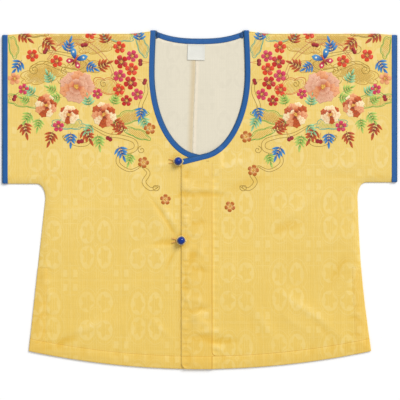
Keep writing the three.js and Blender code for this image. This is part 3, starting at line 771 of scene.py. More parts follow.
def damask_group():
    """Medallions of four open petals, every second one round an oval, in bars over fine stripes."""
    tree, s, given, out = new_group("damask", (), ("Figure",))
    u, v = s.split(s.in_mm(given[0]))
    u, v = (
        s.total(w, s.off(s.noise(given[0], scale, 3.0, 0.65), 0.5, 4.6))
        for w, scale in ((u, 150.0), (v, 120.0))
    )
    repeats = ((u, REPEAT_WIDE), (v, REPEAT_HIGH))
    au, av = (s.do("ABSOLUTE", s.do("WRAP", w, size / 2, -size / 2)) for w, size in repeats)
    places = [s.do("FLOOR", s.total(s.do("DIVIDE", w, size), 0.5)) for w, size in repeats]
    second = s.do("PINGPONG", s.total(*places), 1.0)

    def oval(x, y, wide, high, narrowing=0.0):
        up = s.off(av, y, 1 / high)
        across = s.do("DIVIDE", s.off(au, x, 1 / wide), s.do("SUBTRACT", 1.0, s.times(up, narrowing)))
        far = s.do("SQRT", s.total(s.times(across, across), s.times(up, up)))
        return far, s.do("ARCTAN2", up, across)

    def petals(x, y, wide, high, narrowing):
        outline, _ = oval(x, y, wide, high, narrowing)
        hole, angle = oval(x - 0.7, y - 1.4, wide * 0.66, high * 0.69, narrowing)
        spurs = s.times(s.do("COSINE", s.times(angle, 5.0)), 0.27)
        hole = s.times(hole, s.total(spurs, 1.1))
        return s.times(s.fall(outline, 0.9, 1.03), s.ramp(hole, 0.84, 1.1))

    middle, _ = oval(0.0, 0.0, 10.4, 15.4)
    cross = s.times(*(
        s.do("SINE", s.times(s.do(way, au, av), 1.9)) for way in ("ADD", "SUBTRACT")
    ))
    ringed = s.most(
        s.times(petals(15.6, 24.4, 14.6, 18.4, 0.0), s.ramp(middle, 1.08, 1.2)),
        s.times(s.line(middle, 0.98, 0.05, 0.05), 0.85),
        s.times(s.ramp(cross, 0.0, 0.5), s.ramp(middle, 0.7, 0.8, 0.5, 0.0)),
    )
    medallion = s.ramp(second, 0.0, 1.0, petals(14.8, 21.8, 12.9, 20.8, 0.14), ringed)
    inner, _ = oval(14.7, 21.8, 18.4, 26.8, 0.12)
    outer, _ = oval(14.7, 21.8, 22.2, 30.8, 0.12)
    lines = s.most(
        s.line(av, 60.4, 0.5, 0.45),
        s.times(s.line(av, 36.5, 0.7, 0.5), s.ramp(au, 30.8, 32.8)),
        s.times(s.line(au, 43.2, 0.5, 0.45), s.band(av, 30.5, 61.0, 3.6)),
        s.times(s.line(au, 28.6, 0.6, 0.5), s.ramp(av, 33.5, 38.5)),
        s.times(s.line(au, 41.0, 0.5, 0.5), s.ramp(av, 8.0, 24.0, 0.8, 0.0)),
        s.line(inner, 1.0, 0.035, 0.03),
    )
    bar = s.times(s.line(au, 35.0, 4.0, 0.8), s.line(av, 49.3, 6.0, 0.9))
    drawn = s.most(medallion, bar, s.times(lines, 0.75), s.times(s.line(outer, 1.0, 0.03, 0.03), 0.4))
    fine = s.ramp(s.do("SINE", s.times(u, 2 * math.pi / STRIPE)), -0.1, 0.95)
    broad = s.ramp(s.noise(s.scaled(given[0], 160.0, 5.0), 1.0), 0.38, 0.62, 0.15, 0.62)
    uneven = s.ramp(s.noise(given[0], 26.0, 3.0, 0.6), 0.3, 0.7, 0.55, 1.1)
    tree.links.new(s.most(s.times(drawn, uneven), s.times(fine, broad)), out[0])
    return tree


def weave_group():
    """Slubby warp and weft at a thread pitch given in millimetres."""
    tree, s, given, out = new_group("weave", ("Pitch mm",), ("Threads", "Slub"))
    turn = s.do("DIVIDE", math.pi, given[1])
    threads = [s.do("ABSOLUTE", s.do("SINE", s.times(w, turn))) for w in s.split(s.in_mm(given[0]))]
    slubs = [s.noise(s.scaled(given[0], x, y), 1.0, 3.0, 0.6) for x, y in ((14.0, 620.0), (560.0, 11.0))]
    for pair, socket in ((threads, out[0]), (slubs, out[1])):
        tree.links.new(s.times(s.total(*pair), 0.5), socket)
    return tree


def new_material(name, **fixed):
    """The sums of a new material, with the given fixed values set on its Principled shader."""
    material = bpy.data.materials.new(name)
    material.use_nodes = True
    shader = material.node_tree.nodes["Principled BSDF"]
    for label, value in fixed.items():
        shader.inputs[label.replace("_", " ")].default_value = value
    s = Sums(material.node_tree)
    s.material = material
    return s


def finished(s, colour, rough, normal):
    """The material, once its colour, roughness and normal are fed to its shader."""
    shader = s.tree.nodes["Principled BSDF"]
    for label, value in (("Base Color", colour), ("Roughness", rough), ("Normal", normal)):
        s.feed(shader.inputs[label], value)
    return s.material


def damask_cloth(colours, groups):
    """Yellow silk: a lighter satin figure on a darker ground, darker still over facings, with painted shade
    in folds and painted highlight on ridges.
    """
    s = new_material(
        "yellow_damask", Sheen_Weight=0.12, Sheen_Roughness=0.4, Specular_IOR_Level=0.32
    )
    cut = s.cut()
    figure = s.use(groups["damask"], cut)[0]
    threads, slub = s.use(groups["weave"], cut, 0.5)
    hem, facing, deeper = s.value("hem_in"), s.value("facing_in"), s.value("deeper")
    ground = linear(colours.cloth)
    colour = s.blend(figure, ground, tuple(c * f for c, f in zip(ground, (1.05, 1.125, 1.62))))
    x, y = s.split(s.node("TexCoord").outputs["Object"])
    over_facing = s.times(s.ramp(facing, -0.5, 0.7, 0.0, 0.8), s.fall(y, 0.045, 0.066))
    stitched_groove_shade = s.times(
        s.line(facing, 0.0, 0.75, 0.4), s.fall(s.do("ABSOLUTE", x), 0.05, 0.07),
        s.ramp(y, -0.12, 0.064, 1.0, 0.45), s.fall(y, 0.062, 0.066),
    )
    for share, shade in (
        # painted light: lighter from the hem to the neck, as the light falls on it
        (1.0, s.blend(s.ramp(y, -0.25, 0.17), (0.975, 0.955, 0.87), (1.015, 1.035, 1.17))),
        # over the hem's turn-up and the facings
        (s.ramp(hem, -0.5, 0.7, 0.0, 0.8), (1.02, 0.995, 0.93)),
        (over_facing, (0.995, 0.95, 0.84)),
        # painted shade in folds, beside the lap's edge and round the buttons, and painted highlight on
        # ridges
        (deeper, (0.935, 0.835, 0.46)),
        (s.fall(deeper, -0.8, -0.15), (1.045, 1.09, 1.36)),
        # painted shade in the drawn-in grooves along the stitched lines
        (stitched_groove_shade, (0.74, 0.6, 0.32)),
        (s.line(hem, 0.1, 0.4, 0.4), (0.86, 0.74, 0.52)),
    ):
        colour = s.blend(share, colour, shade, "MULTIPLY")
    blotches = s.noise(cut, 9.0)
    tone = s.total(
        s.off(slub, 0.5, 0.2), s.off(threads, WAVE_MIDDLE, 0.06), s.off(blotches, 0.5, 0.06), 1.0
    )
    height = s.total(s.times(threads, 0.25), s.times(slub, 0.7), s.times(figure, 0.2))
    drift = s.bump(s.noise(cut, 60.0), 0.42, 0.0012)
    return finished(
        s, s.brighter(colour, tone), s.total(0.6, s.times(figure, -0.12)),
        s.bump(height, 0.35, 0.0002, Normal=drift),
    )


def lining_cloth(colours, groups):
    """Cream lining with a faint figure. The seam allowance shows through it beside the centre seam, and a
    painted highlight runs along the seam's other side.
    """
    s = new_material(
        "cream_lining", Sheen_Weight=0.08, Sheen_Roughness=0.5, Specular_IOR_Level=0.25
    )
    cut = s.cut()
    figure = s.use(groups["damask"], cut)[0]
    threads, slub = s.use(groups["weave"], cut, 0.45)
    seam = s.value("seam_in")
    allowance = s.times(s.ramp(seam, -0.2, 0.8), s.fall(seam, 2.0, 12.0))
    colour = s.blend(allowance, linear(colours.lining), (0.89, 0.8, 0.66), "MULTIPLY")
    # painted highlight: a lighter band on the other side of the seam, where its ridge catches the light
    colour = s.blend(s.band(seam, -6.0, -1.0, 1.4), colour, (1.1, 1.065, 1.06), "MULTIPLY")
    tone = s.total(
        s.off(figure, 0.35, -0.04), s.off(slub, 0.5, 0.12), s.off(threads, WAVE_MIDDLE, 0.05), 1.0
    )
    height = s.total(s.times(threads, 0.4), s.times(slub, 0.6))
    drift = s.bump(s.noise(cut, 40.0), 0.3, 0.0012)
    return finished(
        s, s.brighter(colour, tone), s.total(0.72, s.times(figure, -0.06)),
        s.bump(height, 0.4, 0.00018, Normal=drift),
    )


def binding_cloth(name, colour_seen):
    """Blue satin cut on the bias: fine slanting ribs, with painted shade where it rolls over at its edges.
    """
    s = new_material(name, Sheen_Weight=0.06, Sheen_Roughness=0.35, Specular_IOR_Level=0.3)
    cut = s.cut()
    rib = s.wave(s.total(*s.split(s.in_mm(cut))), 0.62)
    drift = s.noise(s.scaled(cut, 300.0, 60.0), 1.0, 3.0)
    rolled = s.ramp(s.value("rolled"), 0.35, 1.0)
    # painted shade: darker where the strip rolls over its edges
    colour = s.blend(rolled, linear(colour_seen), (1.0, 0.72, 0.56), "MULTIPLY")
    tone = s.total(s.off(rib, WAVE_MIDDLE, 0.22), s.off(drift, 0.5, 0.35), 1.0)
    soft = s.bump(s.noise(s.scaled(cut, 120.0, 45.0), 1.0), 0.5, 0.0008)
    return finished(
        s, s.brighter(colour, tone), s.total(0.45, s.times(rib, 0.1)),
        s.bump(rib, 0.4, 0.00015, Normal=soft),
    )


def label_tape(colours):
    """A bare woven label: close ribs one way and a matte face."""
    s = new_material("label_tape", Specular_IOR_Level=0.25)
    cut = s.cut()
    u, v = s.split(s.in_mm(cut))
    rib = s.wave(v, 0.55)
    edge = s.times(s.ramp(s.do("ABSOLUTE", u), 13.4, 13.9), -0.05)
    tone = s.total(s.off(rib, WAVE_MIDDLE, 0.1), s.off(s.noise(cut, 90.0), 0.5, 0.08), edge, 1.0)
    colour = s.brighter(linear(colours.label), tone)
    return finished(s, colour, 0.75, s.bump(s.total(rib, s.wave(u, 0.4)), 0.5, 0.00012))


def ball_glass(colours):
    """Cobalt glass with faint swirls under a hard gloss."""
    s = new_material(
        "ball_glass", Coat_Weight=0.35, Coat_Roughness=0.05, IOR=1.45, Specular_IOR_Level=0.15
    )
    place = s.node("TexCoord").outputs["Object"]
    swirl = s.noise(s.scaled(place, 190.0, 120.0, 240.0), 1.0, 4.0, 0.6)
    deep = linear(colours.ball)
    colour = s.blend(s.ramp(swirl, 0.35, 0.7), tuple(c * 0.8 for c in deep), tuple(c * 1.3 for c in deep))
    rough = s.ramp(s.noise(place, 900.0), 0.3, 0.8, 0.06, 0.18)
    return finished(s, colour, rough, s.bump(swirl, 0.08, 0.0002))


def twisted_thread(name, colour):
    """Thread or cord with twisted strands. Cut runs round the strand, then along it, in millimetres."""
    s = new_material(name, Sheen_Weight=0.2, Sheen_Roughness=0.3, Specular_IOR_Level=0.4)
    u, v = s.split(s.in_mm(s.cut()))
    twist = s.do("SINE", s.total(s.times(u, 2.4), s.times(v, 5.2)))
    lit = linear(colour)
    colour = s.blend(s.ramp(twist, -1.0, 0.4), tuple(c * 0.72 for c in lit), lit)
    return finished(s, colour, s.ramp(twist, -1.0, 1.0, 0.62, 0.42), s.bump(twist, 0.6, 0.0002))


def satin_stitch():
    """Embroidery silk. Its colour is the piece's own, and cut counts threads across and runs along them."""
    s = new_material(
        "satin_stitch", Sheen_Weight=0.1, Sheen_Roughness=0.3, Specular_IOR_Level=0.45
    )
    own = s.node("VertexColor", layer_name="silk").outputs["Color"]
    cut = s.cut()
    thread = s.wave(s.split(s.in_mm(cut))[0], 0.45)
    uneven = s.noise(s.scaled(cut, 1300.0, 70.0), 1.0)
    tone = s.total(s.off(thread, WAVE_MIDDLE, 0.3), s.off(uneven, 0.5, 0.55), 1.0)
    rough = s.ramp(thread, 0.0, 1.0, 0.55, 0.36)
    return finished(s, s.brighter(own, tone), rough, s.bump(thread, 0.5, 0.00015))


materials = {}


def prepare_materials():
    if materials:
        return
    colours = bpy.context.scene.hanfu_colours
    groups = {"damask": damask_group(), "weave": weave_group()}
    materials.update(
        cloth=damask_cloth(colours, groups),
        lining=lining_cloth(colours, groups),
        binding=binding_cloth("blue_binding", colours.binding),
        # painted shade: a darker copy of the binding, for the tuck at the neck points
        binding_inside=binding_cloth("blue_binding_inside", [c * 0.78 for c in colours.binding]),
        label=label_tape(colours),
        ball=ball_glass(colours),
        cord=twisted_thread("gold_cord", colours.cord),
        loop=twisted_thread("pale_cord", colours.loop),
        sewing=twisted_thread("sewing_thread", seen(226, 186, 96)),
        tape_thread=twisted_thread("tape_thread", seen(214, 208, 196)),
        silk=satin_stitch(),
    )


# ---- The outer halves ----
def cloth_rows(half, pitch):
    """Outlines of a half's front and back, with the fold's points first in both."""
    cells = round((CUFF_EDGE - NECK_POINT) / pitch)
    across = np.linspace(NECK_POINT, CUFF_EDGE, cells + 1)
    fold = paired(across, fold_line(across))
    cuff = np.array([[CUFF_EDGE, fold[-1, 1]], [CUFF_EDGE, half.sleeve_bottom]])
    low = hem_at(half.front_edge) + FRONT_CORNER
    neck = neck_edge(half)
    sewn = sewn_edge(half)
    corner = front_corner(half)[::-1]
    front_legs = [
        cuff, sewn, hem_edge(half.hem_corner, half.front_edge + FRONT_CORNER), corner[::-1],
        np.array([[half.front_edge, low], [half.front_edge, neck[-1][1]]]), neck[::-1],
    ]
    centre = np.array([[SEAM_GAP / 2, hem_at(0.0)], [SEAM_GAP / 2, BACK_NECK_MIDDLE]])
    back_legs = [cuff, sewn, hem_edge(half.hem_corner, SEAM_GAP / 2), centre, back_neck(24)]
    outlines = []
    for legs, step in ((front_legs, pitch), (back_legs, pitch * 1.5)):
        points = [fold]
        for leg in legs:
            points.append(resampled(leg, step)[1:])
        outlines.append(np.concatenate(points)[:-1])
    return outlines[0], outlines[1], cells + 1


def feature_lines(half, outline, front):
    """Lines that the net follows: a rim, stitched lines, sharp creases and the lap's step."""
    turned = moved_in(np.concatenate([outline, outline[:1]]), -1.5)
    if not inside(outline, turned[20:21])[0]:
        turned = moved_in(np.concatenate([outline, outline[:1]]), 1.5)
    lines = [turned[1:-1]]
    hem = hem_edge(half.hem_corner, half.front_edge if front else 0.0)
    for above in HEM_LINES:
        lines.append(resampled(hem + [0, above], 3.6))
    along = np.linspace(VENT_TOP, hem_at(half.hem_corner), 40)
    for over in VENT_LINES:
        lines.append(paired(vent_line(half, along) + over, along))
    for mid_x, mid_y, turn, long, wide, _ in CREASES:
        if front and wide < SHARP:
            t = np.linspace(-1.25, 1.25, round(long / 1.3))
            c, n = math.cos(math.radians(turn)), math.sin(math.radians(turn))
            for side in (-0.95, -0.45, 0.0, 0.45, 0.95):
                run, off = t * long, (side - CREASE_BOW * t * t) * wide
                lines.append(paired(half.sign * (mid_x + run * c - off * n), mid_y + run * n + off * c))
    if front and half.lap:
        along = np.arange(hem_at(0.0) + 26, 64, 3.2)
        for across in PLACKET_LINES:
            lines.append(paired(np.full(len(along), across), along))
    return lines


FOLD_ANGLES = np.radians(np.arange(90 - 22.5, -90, -22.5))


def fold_rows(half, across, reach):
    """Rows of points round the shoulder fold, from front to back, at a reach from its middle."""
    rows = []
    for angle in FOLD_ANGLES:
        along = fold_line(across) + reach * math.cos(angle)
        high = np.full(len(across), BACK_AT + FOLD_RADIUS + reach * math.sin(angle))
        rows.append(np.column_stack([half.sign * across, along, high]))
    return rows


def fold_cells(half, rows):
    """Cells between the rows of the fold's points."""
    cells = []
    for above, below in zip(rows[:-1], rows[1:]):
        for k in range(1, len(above)):
            cell = [int(above[k - 1]), int(above[k]), int(below[k]), int(below[k - 1])]
            cells.append(cell[::-1] if half.sign > 0 else cell)
    return cells


def cloth_cut(half, front, back, fold):
    """Each point of a half on its flat cut, whose length runs on over the shoulder."""
    length = np.concatenate([
        front[:, 1],
        2 * fold_line(back[:, 0]) + math.pi * FOLD_RADIUS - back[:, 1],
        *[fold_line(fold) + (math.pi / 2 - angle) * FOLD_RADIUS for angle in FOLD_ANGLES],
    ])
    sideways = np.concatenate([front[:, 0], back[:, 0]] + [fold] * len(FOLD_ANGLES)) * half.sign
    return paired(sideways - half.damask[0], length - half.damask[1])


def cloth_values(half, front, back, fold_size):
    """How far each point lies inside the hem and the facings, and its painted shade, which below 0 is
    painted highlight.
    """
    none = np.full(fold_size, FAR_OUTSIDE)
    hem = np.concatenate([hem_in(*front.T), hem_in(*back.T), none])
    front_facing = np.maximum(vent_in(half, *front.T), placket_in(half, *front.T))
    facing = np.concatenate([front_facing, vent_in(half, *back.T), none])
    shading = np.zeros(len(hem))
    shading[:len(front)] = front_shading(half, *front.T)
    return hem, facing, shading


def outer_half(half):
    """Lays a half: its front, its back and the shoulder fold between them, closed into one wall."""
    wall_mm = bpy.context.scene.hanfu_sizes.cloth_wall / MM
    front_line, back_line, fold_count = cloth_rows(half, FRONT_PITCH)
    front, front_cells = net(front_line, FRONT_PITCH, feature_lines(half, front_line, True))
    back, back_cells = net(back_line, BACK_PITCH, feature_lines(half, back_line, False))
    x = half.sign
    top = front_top(half, *front.T)
    top[:fold_count] = FRONT_AT + CLOTH
    low = back_bottom(half, *back.T)
    low[:fold_count] = BACK_AT
    front_out = np.column_stack([x * front[:, 0], front[:, 1], top])
    back_out = np.column_stack([x * back[:, 0], back[:, 1], low])
    fold = front[:fold_count, 0]
    outside = np.concatenate([front_out, back_out, *fold_rows(half, fold, FOLD_RADIUS)])
    inward = np.concatenate([
        front_out - [0, 0, wall_mm], back_out + [0, 0, wall_mm],
        *fold_rows(half, fold, FOLD_RADIUS - wall_mm),
    ])
    along_fold = np.arange(fold_count)
    base = len(front) + len(back)
    rows = [along_fold]
    rows += [base + k * fold_count + along_fold for k in range(len(FOLD_ANGLES))]
    rows.append(len(front) + along_fold)
    cells = facing_up(front_out, front_cells).tolist()
    cells += (facing_up(back_out, back_cells, False) + len(front)).tolist()
    cells += fold_cells(half, rows)
    points, faces, rim = wall(outside, inward, cells, bulge=0.25)

    piece = new_piece(f"{half.name}_half_cloth", points, faces, materials["cloth"])
    values = np.arange(len(outside))
    source = np.concatenate([values, values, rim])
    set_cut(piece, cloth_cut(half, front, back, fold)[source])
    hem, facing, shading = cloth_values(half, front, back, fold_count * len(FOLD_ANGLES))
    set_values(piece, "hem_in", hem[source])
    set_values(piece, "facing_in", facing[source])
    front_rim = (outside[rim, 0] * x < half.front_edge + 1) & (outside[rim, 1] < FACING_TOP)
    # painted shade of the front's folds, lap and buttons, with a little more on the rim along the lap's
    # front edge
    shade = shading[source]
    shade[2 * len(outside):] += 0.1 * (front_rim if half.lap else 0)
    set_values(piece, "deeper", shade)
    return lay(piece, [f"{half.name}_half"])


# ---- The back lining ----
def lining_seam(along):
    """x of the centre seam, which slants a little."""
    return -7.0 - 5.5 * smooth((BACK_NECK_MIDDLE - along) / 195)


def lining_top(x, y):
    """Height of the lining's face. It ripples a little where the neck opening leaves it free."""
    open_here = smooth((0.93 - np.hypot(x / 80, np.minimum(y - 225, 0) / 150)) / 0.25)
    open_here = open_here * smooth((258 - y) / 26) * smooth((np.hypot(x + 6, (y - 250) * 0.8) - 18) / 14)
    wave = 0.5 + 0.5 * np.sin(x / 9.5 + 0.8 * np.sin(y / 42) + 0.6)
    wave = wave * 0.5 + 0.4 * np.exp(-(((x - 26 + 0.12 * (y - 170)) / 9) ** 2))
    seam = np.abs(x - lining_seam(y))
    lift = 0.8 * wave * open_here * smooth(seam / 9)
    return LINING_AT + LINING_FACE + lift - 0.16 * np.exp(-((seam / 1.2) ** 2))


def back_lining(half):
    """Lays one half of the lining. The seam allowance lies under the right one, and lifts it a little."""
    x = half.sign
    across_cuff = CUFF_EDGE - 6 + SEAM_GAP
    corner_across, corner_along = armpit(half)
    inset = ROLL + 6
    low = hem_at(half.hem_corner) + HEM_TURN
    along = np.linspace(hem_at(0.0) + HEM_TURN, BACK_NECK_MIDDLE - 0.2, 40)
    seam = paired(x * lining_seam(along) + SEAM_GAP / 3, along)
    neck = back_neck(18)[1:] - [0, 0.2]
    neck = neck[neck[:, 0] > seam[-1, 0] + 2]
    top = np.linspace(NECK_POINT + 6, across_cuff, 20)
    shoulder = paired(top, shoulder_at(top) - 6)
    quarter = np.linspace(0, math.pi / 2, 7)
    arc = paired(
        corner_across - (ARMPIT_WIDTH + inset) * np.sin(quarter),
        corner_along + (ARMPIT_HEIGHT + inset) * np.cos(quarter),
    )
    hem = np.linspace(side_at(half, low) - inset, seam[0, 0] + 4, 30)
    legs = [
        seam, np.concatenate([seam[-1:], neck, shoulder[:1]]), shoulder,
        np.array([shoulder[-1], [across_cuff, half.sleeve_bottom + inset], arc[0]]), arc,
        np.array([arc[-1], [hem[0], low]]),
        np.concatenate([paired(hem, hem_at(hem) + HEM_TURN), seam[:1]]),
    ]
    outline = np.concatenate([resampled(leg, LINING_PITCH)[:-1] for leg in legs])
    near_seam = [paired(seam[:, 0] + over, seam[:, 1]) for over in (1.2, 2.6, 11.0, 12.6)]
    flat, cells = net(outline, LINING_PITCH, [resampled(line, 4) for line in near_seam])
    high = lining_top(x * flat[:, 0], flat[:, 1])
    to_seam = np.abs(flat[:, 0] - x * lining_seam(flat[:, 1]))
    if x < 0:
        high += 0.25 * smooth((13 - to_seam) / 5)
    outside = np.column_stack([x * flat[:, 0], flat[:, 1], high])
    inward = outside.copy()
    inward[:, 2] = high - LINING_WALL
    points, faces, rim = wall(outside, inward, facing_up(outside, cells).tolist(), bulge=0.1)
    source = np.concatenate([np.arange(len(flat)), np.arange(len(flat)), rim])
    piece = new_piece(f"{half.name}_back_lining_cloth", points, faces, materials["lining"])
    set_cut(piece, (flat * [x, 1] + [31.0, 12.0])[source])
    set_values(piece, "seam_in", (-x * to_seam)[source])
    return lay(piece, [f"{half.name}_back_lining"])


# ---- Bindings ----
# Section of a front or cuff strip, across from its lip on the cloth to its free edge, and up from its
# underside, in millimetres. The lip is stitched down on the cloth.
STRIP = (
    (-1.1, 1.24), (-1.1, 1.42), (-0.5, 1.6), (0.5, 1.72), (1.5, 1.62), (2.3, 1.64), (4.0, 1.78),
    (6.2, 1.7), (7.8, 1.42), (8.55, 0.9), (8.6, 0.5), (8.1, 0.12), (7.0, 0.0), (3.5, 0.0), (0.6, 0.02),
    (0.05, 0.3), (0.0, 1.15),
)
# How far each corner of the section turns over an edge, 0 to 1, for the painted shade there.
STRIP_ROLL_SHADE = (0, 0, 0.3, 0.7, 0.1, 0, 0.2, 0.6, 1, 1, 0.5, 0, 0, 0, 0, 0, 0)


def strip(name, stations, section, rolled, node, ring=False):
    """A folded strip through stations of (place, across, up), with a little unevenness along it."""
    sections, runs = [], [0.0]
    for k, (place, across, up) in enumerate(stations):
        if k:
            runs.append(runs[-1] + float(np.linalg.norm(place - stations[k - 1][0])))
        swell = 1 + 0.05 * float(ripples(runs[-1] * 0.9, len(name)))
        sections.append([
            place + across * s + up * (t * (swell if t > 1.3 else 1.0)) for s, t in section
        ])
    points, faces = tube([np.array(one) for one in sections], ring)
    points[:, 2] = np.maximum(points[:, 2], 0.02)
    piece = new_piece(name, points, faces, materials["binding"])
    around = runs_of(np.array(section))
    set_cut(piece, [(around[k], run) for run in runs for k in range(len(section))])
    set_values(piece, "rolled", list(rolled) * len(stations))
    face_out(piece)
    return lay(piece, [node])


def front_binding(half):
    """The strip from a front's edge up to the neck point, and over it round the shoulder fold."""
    edge = half_edges[half.name]
    line = resampled(neck_edge(half)[::-1], 3.3)
    under = front_under(half, line[:, 0], line[:, 1], np.concatenate([edge["sewn"], edge["hem"]]))
    points = np.column_stack([half.sign * line[:, 0], line[:, 1], under])
    points[0] = mix(points[0], points[1], BINDING_SHORT / np.linalg.norm(points[1] - points[0]))
    up = np.array([0.0, 0.0, 1.0])
    run = np.gradient(points, axis=0)
    stations = []
    for place, step in zip(points[:-1], run[:-1]):
        inward = np.array([-half.sign * step[1], half.sign * step[0], 0.0])
        inward /= np.linalg.norm(inward)
        stations.append((place + 0.33 * inward, inward, up))
    radius = (FRONT_AT + BINDING) / 2
    sideways = np.array([-half.sign, 0.0, 0.0])
    middle = np.array([half.sign * (NECK_POINT - SEAM_GAP), TOP - radius, radius])
    for degrees in range(90, -91, -15):
        angle = math.radians(degrees)
        out = np.array([0.0, math.cos(angle), math.sin(angle)])
        stations.append((middle + (radius - BINDING) * out, sideways, out))
    name = f"{half.name}_neck_binding"
    return strip(f"{name}_strip", stations, STRIP, STRIP_ROLL_SHADE, name)


# Round the edges of back and lining: over and under them.
BACK_STRIP = (
    (-1.1, 2.62), (-1.1, 2.8), (-0.4, 2.95), (0.6, 3.0), (1.6, 2.92), (2.4, 2.95), (4.2, 3.0), (6.4, 2.85),
    (7.9, 2.3), (8.6, 1.5), (8.4, 0.8), (7.6, 0.2), (6.4, 0.0), (3.0, 0.0), (-0.4, 0.02), (-1.1, 0.1),
    (-1.1, 0.32), (0.05, 0.42), (0.1, 2.5),
)
BACK_STRIP_ROLL_SHADE = (0, 0, 0.3, 0.7, 0.1, 0, 0.2, 0.6, 1, 1, 0.5, 0, 0, 0, 0, 0, 0, 0, 0)


def back_binding():
    """The strip along the back neckline."""
    reach = NECK_POINT - BINDING_WIDTH - 2.2 * SEAM_GAP
    half = back_neck(60)
    across = np.linspace(0, reach, 26)
    along = np.interp(across, half[:, 0], half[:, 1]) + SEAM_GAP
    x = np.concatenate([-across[:0:-1], across])
    y = np.concatenate([along[:0:-1], along])
    forward, up = np.array([0.0, 1.0, 0.0]), np.array([0.0, 0.0, 1.0])
    stations = [(np.array([px, py, 0.0]), forward, up) for px, py in zip(x, y)]
    return strip("back_neck_binding_strip", stations, BACK_STRIP, BACK_STRIP_ROLL_SHADE, "back_neck_binding")


def cuff_binding(half):
    """The strip round a cuff, closed into a ring."""
    radius = (FRONT_AT + BINDING) / 2
    top = float(shoulder_at(SPAN / 2)) - radius
    bottom = half.sleeve_bottom + radius
    start = np.array([half.sign * (SPAN / 2 - BINDING_WIDTH), 0.0, radius])
    outwards = np.array([float(half.sign), 0.0, 0.0])
    turns = [(y, 90) for y in np.linspace(bottom, top, 64)]
    turns += [(top, d) for d in range(72, -89, -18)]
    turns += [(y, -90) for y in np.linspace(top, bottom, 64)]
    turns += [(bottom, d) for d in range(-108, -269, -18)]
    stations = []
    for y, degrees in turns:
        angle = math.radians(degrees)
        out = np.array([0.0, math.cos(angle), math.sin(angle)])
        place = np.array([start[0], y, start[2]]) + (radius - BINDING) * out
        stations.append((place, outwards, out))
    name = f"{half.name}_cuff_binding"
    return strip(f"{name}_strip", stations, STRIP, STRIP_ROLL_SHADE, name, ring=True)


# The tuck at a neck point: its section, across in its width and up in millimetres, and its two ends.
TUCK = ((0, 3.2), (0, 3.85), (0.5, 3.95), (0.93, 3.75), (1, 3.45), (0.9, 3.2))
TUCK_FROM = 291.5
TUCK_TO = 279.5


def neck_fold(half):
    """Where the strip turns from front to back, its inside shows as a small tuck, with painted shade in a
    darker copy of the binding.
    """
    outer = NECK_POINT - BINDING_WIDTH - 0.7
    sections = []
    for share in np.linspace(0, 1, 9):
        wide = 0.5 + 5.8 * math.sin(math.pi * share) ** 0.8
        y = mix(TUCK_FROM, TUCK_TO, share)
        sections.append(np.array([
            (half.sign * (outer - wide * across), y - 2.6 * across, z) for across, z in TUCK
        ]))
    points, faces = tube(sections)
    name = f"{half.name}_neck_binding_fold"
    # painted shade: the darker copy of the binding
    piece = new_piece(name, points, faces, materials["binding_inside"])
    set_cut(piece, points[:, :2])
    set_values(piece, "rolled", np.zeros(len(points)))
    face_out(piece)
    return lay(piece)


# ---- Modelling by hand ----
def start_clean():
    if bpy.context.object and bpy.context.object.mode != "OBJECT":
        bpy.ops.object.mode_set(mode="OBJECT")
    bpy.ops.object.select_all(action="DESELECT")


def edit(piece, keep):
    """Opens a piece in edit mode with the faces selected for which keep(face) is true."""
    bpy.ops.object.mode_set(mode="EDIT")
    bpy.ops.mesh.select_mode(type="FACE")
    shape = bmesh.from_edit_mesh(piece.data)
    for face in shape.faces:
        face.select = bool(keep(face))
    shape.select_flush_mode()
    bmesh.update_edit_mesh(piece.data)


def extrude(x=0.0, z=0.0):
    """Extrudes the selected faces and moves them."""
    bpy.ops.mesh.extrude_region_move(TRANSFORM_OT_translate={"value": (x, 0, z)})


def settle(piece, name, material):
    """Leaves edit mode and puts a piece's place into its mesh."""
    bpy.ops.object.mode_set(mode="OBJECT")
    bpy.ops.object.transform_apply()
    piece.name = name
    piece.data.name = name
    piece.data.materials.clear()
    piece.data.materials.append(material)
    return piece


def bevelled(piece, width, segments, degrees):
    """Rounds the edges that are sharper than an angle."""
    bpy.ops.object.mode_set(mode="OBJECT")
    bevel = piece.modifiers.new("rounded edge", "BEVEL")
    bevel.width = width * MM
    bevel.segments = segments
    bevel.angle_limit = math.radians(degrees)
    bpy.ops.object.modifier_apply(modifier=bevel.name)


def taken(piece):
    """Takes a modelled shape's faces and points, and removes the piece."""
    bpy.ops.object.mode_set(mode="OBJECT")
    points = np.array([v.co for v in piece.data.vertices])
    faces = [list(face.vertices) for face in piece.data.polygons]
    bpy.data.objects.remove(piece)
    return faces, points


def neck_label():
    """A tape label with its four edges turned under, a little crowned."""
    start_clean()
    x, y = LABEL_AT
    low = LINING_AT + LINING + SEAM_GAP
    bpy.ops.mesh.primitive_plane_add(size=1, location=(x * MM, y * MM, low * MM))
    piece = bpy.context.object
    piece.scale = (LABEL_WIDTH * MM, LABEL_HEIGHT * MM, 1)
    bpy.ops.object.transform_apply(location=False, rotation=False, scale=True)
    edit(piece, lambda face: True)
    extrude(z=0.62 * MM)
    bpy.ops.mesh.inset(thickness=1.6 * MM, depth=0)
    bpy.ops.mesh.inset(thickness=0.5 * MM, depth=-0.14 * MM)
    bpy.ops.mesh.select_all(action="SELECT")
    bpy.ops.mesh.subdivide(number_cuts=5)
    bevelled(piece, 0.22, 3, 40)
    piece.rotation_euler[2] = LABEL_TURN
    settle(piece, "neck_label_tape", materials["label"])
    points = np.array([v.co for v in piece.data.vertices]) / MM
    flat = points[:, :2] - LABEL_AT
    points[:, 2] += 0.28 * np.cos(flat[:, 0] / 9.0 + 0.5) * (1 - smooth((flat[:, 1] - 4) / 9)) * 0.5 + 0.14
    for vertex, point in zip(piece.data.vertices, points):
        vertex.co = point * MM
    set_cut(piece, flat)
    bpy.ops.object.shade_smooth_by_angle(angle=math.radians(50))
    face_out(piece)
    return lay(piece, ["neck_label"])


